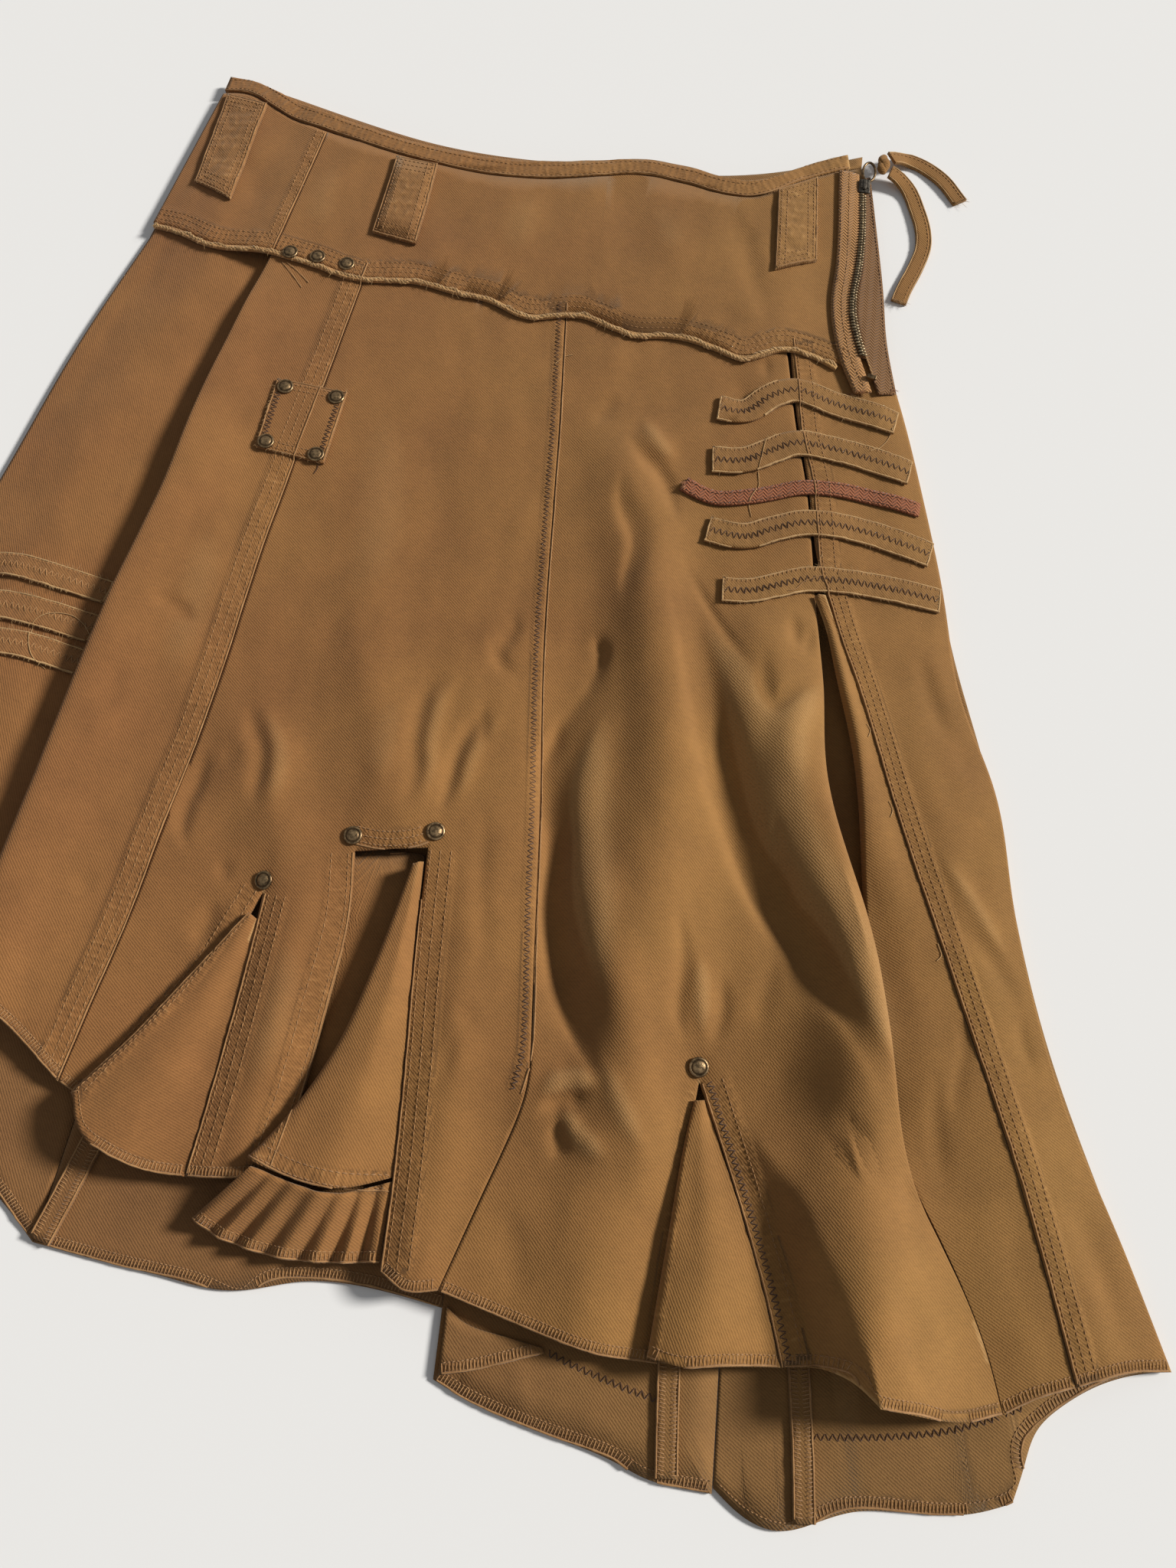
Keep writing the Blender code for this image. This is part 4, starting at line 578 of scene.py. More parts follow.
def yarn(name, colour, lit):
    paint, tree, shader = new_finish(name, 0.8)
    shader.inputs["Sheen Weight"].default_value = 0.2
    place = add(tree, "ShaderNodeTexCoord").outputs["Object"]
    fibre = grainy(tree, place, 1400.0, 2.0, 0.6)
    patchy = grainy(tree, place, 90.0, 2.0, 0.5)
    share = ranged(tree, total(tree, fibre, patchy), -1.4, 1.4, 0.0, 1.0)
    tree.links.new(mixed(tree, share, (*colour, 1), (*lit, 1)), shader.inputs["Base Color"])
    return paint


def metal(name, colour, dull, bright, roughness):
    """Antique metal: dull film in the hollows; brighter on the crown from wear and a painted highlight."""
    paint, tree, shader = new_finish(name, roughness, 0.85)
    shader.inputs["Specular IOR Level"].default_value = 0.5
    place = add(tree, "ShaderNodeTexCoord").outputs["Object"]
    film = grainy(tree, place, 520.0, 4.0, 0.65)
    spots = grainy(tree, place, 1500.0, 2.0, 0.6)
    share = ranged(tree, film, -0.7, 0.8, 0.0, 1.0)
    base = mixed(tree, share, (*dull, 1), (*colour, 1))
    # Wear and a painted highlight on the crown, by the crest attribute.
    crown_wear_and_highlight = maths(tree, "MULTIPLY", ranged(tree, read(tree, "crest"), 0.2, 1.0, 0.0, 1.0),
                   ranged(tree, film, -0.4, 0.6, 0.3, 1.0))
    tree.links.new(mixed(tree, crown_wear_and_highlight, base, (*bright, 1)), shader.inputs["Base Color"])
    tree.links.new(ranged(tree, total(tree, film, spots), -1.2, 1.2, roughness - 0.12, roughness + 0.2),
                   shader.inputs["Roughness"])
    raised(tree, shader, total(tree, maths(tree, "MULTIPLY", film, 0.03), maths(tree, "MULTIPLY", spots, 0.015)))
    return paint


# Cloth pieces

FINE = ["front_panel_left", "front_panel_centre", "front_panel_right", "front_yoke", "side_yoke",
        "side_panel_left", "side_panel_right", "pleat_gore", "godet_left", "godet_right",
        "godet_middle_flap", "back_panel_left", "back_panel_middle", "back_panel_right",
        "back_panel_side"]
GRAIN = {
    # degrees that the weave of a piece is turned
    "front_panel_left": -8, "side_panel_right": 14, "side_panel_left": -20, "godet_left": 24,
    "godet_right": -16, "pleat_gore": 16, "godet_middle_flap": -6, "ruffle": 12, "side_yoke": 10,
    "front_panel_centre": 4, "waist_binding": 40, "back_panel_left": -12, "back_panel_side": 12,
}
SHARP = math.radians(46)
WALL = 1.4             # thickness of the solids' cloth walls, in millimetres
LIES_ON = {"side_panel_left": 2.2, "tie_upper": 0.0, "tie_lower": 0.0}      # height of what is under them


def solid_copy(node):
    """The solid's mesh with its doubled points merged, its triangles joined and its rims kept sharp."""
    mesh = frame["nodes"][node].data.copy()
    bm = bmesh.new()
    bm.from_mesh(mesh)
    bmesh.ops.remove_doubles(bm, verts=bm.verts, dist=0.00002)
    bmesh.ops.join_triangles(bm, faces=bm.faces, cmp_seam=False, cmp_sharp=False, cmp_uvs=False,
                             cmp_vcols=False, cmp_materials=False, angle_face_threshold=math.radians(30),
                             angle_shape_threshold=math.radians(60))
    crease = bm.edges.layers.float.new("crease_edge")
    for edge in bm.edges:
        if len(edge.link_faces) == 2 and edge.calc_face_angle() > SHARP:
            edge[crease] = 1.0
    corner = bm.verts.layers.float.new("crease_vert")
    for vert in bm.verts:
        if sum(edge[crease] for edge in vert.link_edges) > 2:
            vert[corner] = 1.0
    mesh.clear_geometry()
    bm.to_mesh(mesh)
    bm.free()
    return mesh


def settled(obj):
    """The object's evaluated mesh, with the object removed."""
    graph = bpy.context.evaluated_depsgraph_get()
    made = bpy.data.meshes.new_from_object(obj.evaluated_get(graph))
    bpy.data.objects.remove(obj)
    return made


def finer(mesh, level):
    """The mesh after Catmull-Clark subdivision."""
    holder = bpy.data.objects.new("holder", mesh)
    SCENE.collection.objects.link(holder)
    divide = holder.modifiers.new("finer", "SUBSURF")
    divide.levels = divide.render_levels = level
    divide.use_limit_surface = False
    return settled(holder)


def points_of(mesh):
    flat = np.empty(len(mesh.vertices) * 3)
    mesh.vertices.foreach_get("co", flat)
    return flat.reshape(-1, 3)


def set_points(mesh, points):
    mesh.vertices.foreach_set("co", points.ravel())
    mesh.update()


def in_table(points):
    """Millimetres in the pattern's table from metres in the row frame."""
    return points[:, 0] / MM + BOX_MIDDLE[0], points[:, 1] / MM + BOX_MIDDLE[1]


def from_rims(mesh, points):
    """Each point's distance to the nearest sharp rim, in millimetres."""
    mesh.set_sharp_from_angle(angle=math.radians(50))
    flags = np.zeros(len(mesh.edges), bool)
    if "sharp_edge" in mesh.attributes:
        mesh.attributes["sharp_edge"].data.foreach_get("value", flags)
    ends = np.empty(len(mesh.edges) * 2, int)
    mesh.edges.foreach_get("vertices", ends)
    on_rim = np.unique(ends.reshape(-1, 2)[flags])
    if len(on_rim) == 0:
        return np.full(len(points), 99.0)
    tree = KDTree(len(on_rim))
    for k in on_rim:
        tree.insert(points[k], int(k))
    tree.balance()
    return np.array([tree.find(point)[2] for point in points]) / MM


def keep_on(mesh, name, values):
    mesh.attributes.new(name, "FLOAT", "POINT").data.foreach_set("value", values)


def lay_grain(mesh, points, degrees):
    """A UV map in millimetres along and across the piece's threads."""
    turn = math.radians(degrees)
    x, y = points[:, 0] / MM, points[:, 1] / MM
    spread = np.stack([x * math.cos(turn) + y * math.sin(turn), y * math.cos(turn) - x * math.sin(turn)], axis=1)
    corners = np.empty(len(mesh.loops), int)
    mesh.loops.foreach_get("vertex_index", corners)
    mesh.uv_layers.new(name="grain").data.foreach_set("uv", spread[corners].ravel())


def finish_piece(obj, nodes=()):
    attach(obj, "root")
    if nodes:
        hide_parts(*nodes)
    return obj


def new_object(name, mesh, finish):
    mesh.materials.clear()
    mesh.materials.append(finish)
    obj = bpy.data.objects.new(name, mesh)
    SCENE.collection.objects.link(obj)
    return obj


def room_below(mesh, points, lies_on):
    """How far each point may sink, in millimetres, before its wall's underside meets what it lies on."""
    normals = np.empty(len(points) * 3)
    mesh.vertices.foreach_get("normal", normals)
    underside = points[:, 2] / MM - WALL * (1 + normals[2::3]) / 2
    return np.maximum(underside - lies_on, 0)


def cloth(node, finish, level):
    """The node's wall as cloth, with its creases, puckers and the numbers that its finish reads."""
    mesh = finer(solid_copy(node), level)
    mesh.name = node + "_cloth"
    points = points_of(mesh)
    x, y = in_table(points)
    rim = from_rims(mesh, points)
    share, along, across, rise = banded(bands_of(node), x, y)
    crest = np.zeros(len(points))
    is_back = node.startswith("back") or node.startswith("seam")
    inside = np.minimum(nearest(curve(LEFT_SIDE, 12), x, y)[0], nearest(curve(RIGHT_SIDE, 12), x, y)[0])
    if is_back:
        points[:, 2] += crease_height(BACK_CREASES, x, y) * smooth(inside / 20) * MM
    else:
        creases = crease_height(CREASES, x, y)
        uneven = 0.9 * ripple(x, y, (38, 60), 3.1) + 0.4 * ripple(x, y, (13, 24), 9.7)
        gather = share * PUCKER * 1.6 * ripple(along * 2.2, across, (3.4, 9.0), 5.3)
        height = (creases + uneven) * smooth(inside / 18) + rise + gather
        if node in LIES_ON:
            height = np.maximum(height, -room_below(mesh, points, LIES_ON[node]))
        points[:, 2] += height * MM
        # Heights of the fold crests, which the twill paints paler as a painted highlight.
        crest = np.clip(creases, 0, 3)
    set_points(mesh, points)
    mesh.shade_smooth()
    mesh.set_sharp_from_angle(angle=math.radians(50))
    for name, values in (("rim", rim), ("band", share), ("along", along), ("across", across),
                         ("crest", crest)):
        keep_on(mesh, name, values)
    lay_grain(mesh, points, GRAIN.get(node, 0))
    return finish_piece(new_object(node + "_cloth", mesh, finish), [node])


# Places on the cloth

TREES = {}


def ready_to_seat(pieces):
    graph = bpy.context.evaluated_depsgraph_get()
    for node, obj in pieces.items():
        low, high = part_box(node)
        TREES[node] = (BVHTree.FromObject(obj, graph), low, high)


def seat(x, y, lift=0.0, on=None):
    """The highest point of the cloth at a place, raised by lift, and the direction square to it."""
    at = Vector(((x - BOX_MIDDLE[0]) * MM, (y - BOX_MIDDLE[1]) * MM, 0.1))
    best = None
    for node in on or TREES:
        tree, low, high = TREES[node]
        if low[0] - 0.003 < at.x < high[0] + 0.003 and low[1] - 0.003 < at.y < high[1] + 0.003:
            spot, out, _, _ = tree.ray_cast(at, DOWN)
            if spot and (best is None or spot.z > best[0].z):
                best = (spot, out)
    return None if best is None else (best[0] + best[1] * lift * MM, best[1])


# Geometry Nodes for what repeats or follows a line

def new_tree(name, *given):
    tree = bpy.data.node_groups.new(name, "GeometryNodeTree")
    for title, kind in given:
        tree.interface.new_socket(title, in_out="INPUT", socket_type="NodeSocket" + kind)
    tree.interface.new_socket("Made", in_out="OUTPUT", socket_type="NodeSocketGeometry")
    return tree, tree.nodes.new("NodeGroupInput").outputs


def ends_with(tree, geometry, finish):
    """The tree's last nodes: real geometry, smooth, with its finish."""
    real = add(tree, "GeometryNodeRealizeInstances", {"Geometry": geometry}).outputs[0]
    even = add(tree, "GeometryNodeSetShadeSmooth", {0: real}).outputs[0]
    done = add(tree, "GeometryNodeSetMaterial", {"Geometry": even, "Material": finish}).outputs[0]
    tree.links.new(done, tree.nodes.new("NodeGroupOutput").inputs[0])


def placing_tree():
    """One copy of a small piece on each point, along its way and standing on its up direction."""
    tree, given = new_tree("set_along", ("Places", "Geometry"), ("Piece", "Object"), ("Finish", "Material"),
                           ("Turn", "Float"), ("Unevenness", "Float"), ("Seed", "Int"))
    piece = add(tree, "GeometryNodeObjectInfo", {"Object": given["Piece"]}).outputs["Geometry"]

    def kept(name):
        return add(tree, "GeometryNodeInputNamedAttribute", {"Name": name},
                   data_type="FLOAT_VECTOR").outputs["Attribute"]

    def chance(low, high, seed):
        given_here = {2: low, 3: high, 8: seed}
        return add(tree, "FunctionNodeRandomValue", given_here, data_type="FLOAT").outputs[1]

    ahead = add(tree, "FunctionNodeAlignRotationToVector", {"Vector": kept("way")}, axis="X").outputs[0]
    upright = add(tree, "FunctionNodeAlignRotationToVector", {"Rotation": ahead, "Vector": kept("up")},
                  axis="Z", pivot_axis="X").outputs[0]
    swing = chance(maths(tree, "MULTIPLY", given["Turn"], -1.0), given["Turn"], given["Seed"])
    euler = add(tree, "ShaderNodeCombineXYZ", {2: swing}).outputs[0]
    by = add(tree, "FunctionNodeEulerToRotation", {0: euler}).outputs[0]
    turned = add(tree, "FunctionNodeRotateRotation", {0: upright, 1: by}, rotation_space="LOCAL").outputs[0]
    less = maths(tree, "SUBTRACT", 1.0, given["Unevenness"])
    more = maths(tree, "ADD", 1.0, given["Unevenness"])
    size = add(tree, "ShaderNodeVectorMath", {0: kept("size"), "Scale": chance(less, more, given["Seed"])},
               operation="SCALE").outputs[0]
    placed = add(tree, "GeometryNodeInstanceOnPoints", {"Points": given["Places"], "Instance": piece,
                                                        "Rotation": turned, "Scale": size}).outputs[0]
    ends_with(tree, placed, given["Finish"])
    return tree


def cord_tree():
    """An uneven thread or rolled edge along each line."""
    tree, given = new_tree("laid_cord", ("Lines", "Geometry"), ("Finish", "Material"), ("Radius", "Float"),
                           ("Wander", "Float"), ("Unevenness", "Float"), ("Seed", "Float"))
    line = add(tree, "GeometryNodeMeshToCurve", {0: given["Lines"]}).outputs[0]
    place = add(tree, "GeometryNodeInputPosition").outputs[0]

    def wave(scale, seed):
        given_here = {"Vector": place, "W": seed, "Scale": scale, "Detail": 2.0}
        return add(tree, "ShaderNodeTexNoise", given_here, noise_dimensions="4D").outputs

    drift = add(tree, "ShaderNodeVectorMath", {0: wave(190.0, given["Seed"])["Color"], 1: (0.5, 0.5, 0.5)},
                operation="SUBTRACT").outputs[0]
    drift = add(tree, "ShaderNodeVectorMath", {0: drift, "Scale": given["Wander"]}, operation="SCALE").outputs[0]
    moved = add(tree, "GeometryNodeSetPosition", {"Geometry": line, "Offset": drift}).outputs[0]
    thick = wave(420.0, maths(tree, "ADD", given["Seed"], 7.0))["Fac"]
    thick = ranged(tree, thick, 0.3, 0.7, maths(tree, "SUBTRACT", 1.0, given["Unevenness"]),
                   maths(tree, "ADD", 1.0, given["Unevenness"]))
    thick = maths(tree, "MULTIPLY", thick, given["Radius"])
    ring = add(tree, "GeometryNodeCurvePrimitiveCircle", {"Resolution": 6, "Radius": 1.0}).outputs[0]
    tube = add(tree, "GeometryNodeCurveToMesh", {"Curve": moved, "Profile Curve": ring, "Scale": thick,
                                                 "Fill Caps": True}).outputs[0]
    ends_with(tree, tube, given["Finish"])
    return tree


def through(name, mesh, tree, slot, **given):
    """What a tree makes of a mesh, as a finished piece."""
    holder = bpy.data.objects.new(name, mesh)
    SCENE.collection.objects.link(holder)
    grown = holder.modifiers.new("grown", "NODES")
    grown.node_group = tree
    for item in tree.interface.items_tree:
        if item.item_type == "SOCKET" and item.in_out == "INPUT" and item.name in given:
            grown[item.identifier] = given[item.name]
    made = settled(holder)
    made.name = name
    obj = bpy.data.objects.new(name, made)
    SCENE.collection.objects.link(obj)
    return finish_piece(obj)


def place_mesh(places):
    """Points with their way, up and size, from (point, way, up, size) rows."""
    mesh = bpy.data.meshes.new("places")
    mesh.from_pydata([place[0] for place in places], [], [])
    for k, name in enumerate(("way", "up", "size"), 1):
        values = np.array([place[k] for place in places], float)
        mesh.attributes.new(name, "FLOAT_VECTOR", "POINT").data.foreach_set("vector", values.ravel())
    return mesh


def lines_mesh(lines):
    verts, edges = [], []
    for line in lines:
        edges += [(len(verts) + k, len(verts) + k + 1) for k in range(len(line) - 1)]
        verts += list(line)
    mesh = bpy.data.meshes.new("lines")
    mesh.from_pydata(verts, edges, [])
    return mesh


# Small pieces that the trees repeat; each lies along X and is one unit long

def small_piece(name, rings, sides):
    """A closed tube through (x, y, z, radius) rings, pointed at both ends."""
    mesh = bpy.data.meshes.new(name)
    bm = bmesh.new()
    loops = []
    for x, y, z, radius in rings[1:-1]:
        angles = [2 * math.pi * k / sides for k in range(sides)]
        loops.append([bm.verts.new((x, y + radius * math.cos(a), z + radius * math.sin(a))) for a in angles])
    tips = [bm.verts.new(rings[0][:3]), bm.verts.new(rings[-1][:3])]
    for k in range(sides):
        n = (k + 1) % sides
        bm.faces.new((tips[0], loops[0][n], loops[0][k]))
        bm.faces.new((tips[1], loops[-1][k], loops[-1][n]))
        for a, b in zip(loops, loops[1:]):
            bm.faces.new((a[k], a[n], b[n], b[k]))
    bmesh.ops.recalc_face_normals(bm, faces=bm.faces)
    bm.to_mesh(mesh)
    bm.free()
    return bpy.data.objects.new(name, mesh)


STITCH = small_piece("stitch", [(-0.5, 0, -0.5, 0), (-0.4, 0, -0.15, 0.4), (0, 0, 0.1, 0.5), (0.4, 0, -0.15, 0.4),
                                (0.5, 0, -0.5, 0)], 4)
FIBRE = small_piece("fibre", [(0, 0, 0, 0), (0.12, 0.01, 0.05, 0.5), (0.45, 0.12, 0.3, 0.45),
                              (0.8, 0.36, 0.3, 0.35), (1, 0.6, 0.05, 0)], 3)
# A fibre's bends are shares of its thickness across, so they are drawn large.
for corner in FIBRE.data.vertices:
    corner.co.y += 7 * corner.co.x * corner.co.x
    corner.co.z += 3 * corner.co.x


def way_between(a, b):
    return tuple((b - a).normalized())


def sewn(line, across, kind, pitch, width, thick, on):
    """Places of the stitches of one row along a line."""
    path = beside(curve(line, 1.0), across)
    other = beside(curve(line, 1.0), across + width)
    gone = np.concatenate([[0], np.cumsum(np.linalg.norm(np.diff(path, axis=0), axis=1))])

    def point(on_path, s):
        return np.array([np.interp(s, gone, on_path[:, 0]), np.interp(s, gone, on_path[:, 1])])

    places = []
    for k in range(int(gone[-1] / pitch)):
        s = k * pitch
        if kind == "run":
            ends = point(path, s + 0.1 * pitch), point(path, s + 0.86 * pitch)
        elif kind == "zigzag":
            pair = (path, other) if k % 2 else (other, path)
            ends = point(pair[0], s), point(pair[1], s + pitch)
        else:
            ends = point(path, s), point(other, s + 0.35 * pitch)
        seats = [seat(x, y, 0.12, on) for x, y in ends]
        if None in seats or abs(seats[0][0].z - seats[1][0].z) > 0.0025:
            continue
        (a, out_a), (b, out_b) = seats
        places.append(((a + b) / 2, way_between(a, b), tuple(out_a + out_b),
                       ((b - a).length, thick * MM, thick * MM)))
    return places


def edge_line(line, across, lift, on=None, step=1.6):
    """Runs of seated points along a line, broken where nothing carries it or it jumps a step."""
    runs, run = [], []
    for x, y in stepped(beside(curve(line, 1.0), across), step):
        found = seat(x, y, lift, on)
        if found is None or (run and abs(found[0].z - run[-1].z) > 0.004):
            runs.append(run)
            run = []
        if found is not None:
            run.append(found[0])
    runs.append(run)
    return [run for run in runs if len(run) > 2]


def frayed(line, across, each, length, lean, rng, on=None, thick=0.14, lift=0.2):
    """Fibres that stick out across a line, to its right for a length above zero."""
    path = stepped(beside(curve(line, 1.0), across), 1.0)
    places = []
    for k in range(int(len(path) * each)):
        s = rng.uniform(0, len(path) - 1.01)
        a, b = path[int(s)], path[int(s) + 1]
        x, y = a + (b - a) * (s - int(s))
        found = seat(x, y, lift, on)
        if found is None:
            continue
        way = b - a
        way = way / np.linalg.norm(way)
        out = np.array([-way[1], way[0]]) * math.copysign(1, length)
        swing = rng.uniform(-1, 1) * lean
        ahead = out * math.cos(swing) + way * math.sin(swing)
        size = abs(length) * rng.uniform(0.35, 1.0) * (1.9 if rng.random() < 0.08 else 1.0)
        tilt = Vector((ahead[0], ahead[1], rng.uniform(-0.25, 0.3))).normalized()
        places.append((found[0], tuple(tilt), (0, 0, 1), (size * MM, thick * MM, thick * MM)))
    return places


# Sewing

ROWS = [
    # line, distance across it, kind, pitch, width, thread
    (SEAM_A, -2.2, "run", 3.0, 0, "tan"), (SEAM_A, -6.2, "run", 3.0, 0, "tan"),
    (SEAM_A, -10.6, "run", 3.0, 0, "tan"),
    (SEAM_B_SEWN, -5.2, "zigzag", 1.3, 3.0, "dark"),
    (SEAM_C, 2.2, "run", 2.6, 0, "tan"), (SEAM_C, 5.6, "run", 2.6, 0, "tan"),
    (SEAM_C, 9.2, "run", 2.6, 0, "tan"),
    (RIGHT_FOLD_TOP, 2.6, "run", 2.6, 0, "tan"), (RIGHT_FOLD_TOP, 9.0, "run", 2.6, 0, "tan"),
    (SLIT_LEFT, -3.0, "run", 2.8, 0, "tan"), (SLIT_LEFT, -9.4, "run", 2.8, 0, "tan"),
    (GODET_LEFT_SEAM, 2.4, "run", 2.8, 0, "tan"), (GODET_LEFT_SEAM, 6.4, "run", 2.8, 0, "tan"),
    (GODET_LEFT_SEAM, 10.6, "run", 2.8, 0, "tan"),
    (GODET_LEFT_FOLD, 2.4, "run", 2.8, 0, "tan"),
    (SLIT_MIDDLE, -2.6, "run", 2.8, 0, "tan"), (SLIT_MIDDLE, -10.4, "run", 2.8, 0, "tan"),
    (MIDDLE_SLIT_TOP, 2.0, "run", 2.4, 0, "tan"), (MIDDLE_SLIT_TOP, 5.2, "run", 2.4, 0, "tan"),
    (MIDDLE_SLIT_TOP, 8.6, "run", 2.4, 0, "tan"),
    (GODET_MIDDLE_SEAM, 2.6, "run", 2.8, 0, "tan"), (GODET_MIDDLE_SEAM, 7.2, "run", 2.8, 0, "tan"),
    (GODET_MIDDLE_SEAM, 12.2, "run", 2.8, 0, "tan"),
    (GODET_RIGHT_SEAM, 2.0, "zigzag", 1.4, 3.2, "dark"), (GODET_RIGHT_SEAM, 9.6, "run", 2.6, 0, "tan"),
    (FLAP_LOW, 6.8, "run", 2.8, 0, "tan"), (FLAP_LOW, 1.4, "run", 2.6, 0, "tan"),
    (YOKE_LOW, 3.5, "run", 2.9, 0, "tan"), (YOKE_LOW, 7.0, "run", 2.9, 0, "tan"),
    (YOKE_LOW, 10.2, "run", 2.9, 0, "tan"),
    (YOKE_SEAM, -2.0, "run", 2.8, 0, "tan"), (YOKE_SEAM, -6.0, "run", 2.8, 0, "tan"),
    (BINDING_LOW, 1.6, "run", 2.8, 0, "tan"), (BINDING_LOW, 8.8, "run", 2.8, 0, "tan"),
    (TAPE_FRONT_LEFT, 1.3, "run", 2.6, 0, "dark"), (TAPE_FRONT_LEFT, 6.0, "run", 2.6, 0, "tan"),
    (TAPE_BACK_RIGHT, -1.3, "run", 2.6, 0, "dark"),
    ([(103, -316), (113, -319), (125, -322), (138, -325), (150, -327)], 0, "zigzag", 1.6, 3.0, "dark"),
    ([(213, -332), (242, -328), (265, -323), (282, -317), (299, -309)], 0, "zigzag", 1.6, 3.0, "dark"),
]
THREAD = 0.5           # thickness of a sewing thread
LOOP_REACH = 3.8       # depth of the overlocked hem
EDGES = [
    # line, distance across it, lift, radius, thread
    (SEAM_A, -0.5, 0.15, 0.36, "tan"), (SEAM_B_SEWN, 0.7, 0.1, 0.36, "tan"), (SEAM_C, 0.9, 0.2, 0.40, "tan"),
    (RIGHT_FOLD_TOP, 1.2, 0.1, 0.34, "tan"), (GODET_LEFT_SEAM, 0.7, 0.1, 0.36, "tan"),
    (GODET_MIDDLE_SEAM, 0.7, 0.1, 0.38, "tan"), (GODET_RIGHT_SEAM, 0.7, 0.1, 0.36, "tan"),
    (SLIT_MIDDLE, -0.6, 0.0, 0.36, "tan"), (MIDDLE_SLIT_TOP, 0.4, 0.1, 0.42, "tan"),
    (GODET_LEFT_FOLD, 0.9, 0.0, 0.36, "tan"), (YOKE_SEAM, -0.6, 0.1, 0.36, "tan"),
    (BINDING_LOW, 0.6, 0.0, 0.36, "tan"), (FLAP_LOW, 0.4, 0.0, 0.40, "tan"),
]
LOOSE_THREADS = [
    # points, thread
    ([(-129, 217), (-123, 211), (-114, 201)], "light"),
    ([(-126, 217), (-119, 212), (-111, 205)], "light"),
    ([(-143, 224), (-140, 220), (-137, 215)], "light"),
    ([(-94, 216), (-93, 220), (-91, 223), (-89, 221), (-90, 216), (-93, 217)], "light"),
    ([(34, 170), (38, 175), (43, 177)], "light"),
    ([(152, 136), (151, 127), (150, 117), (151, 108), (147, 98), (149, 89)], "light"),
    ([(219, 156), (217, 149), (213, 143), (208, 139)], "light"),
    ([(188, 59), (179, 54), (175, 49), (171, 47)], "tan"),
    ([(187, 72), (185, 66), (184, 61)], "light"),
    ([(-174, -23), (-178, -18), (-185, -14), (-193, -14), (-200, -17), (-203, -23), (-202, -31), (-198, -39),
      (-191, -44)], "light"),
    ([(215, -19), (217, -22), (216, -26)], "light"),
    ([(228, -57), (230, -61), (229, -65)], "light"),
    ([(254, -122), (256, -127), (254, -130)], "light"),
    ([(-84, 93), (-80, 88), (-81, 83)], "dark"),
]


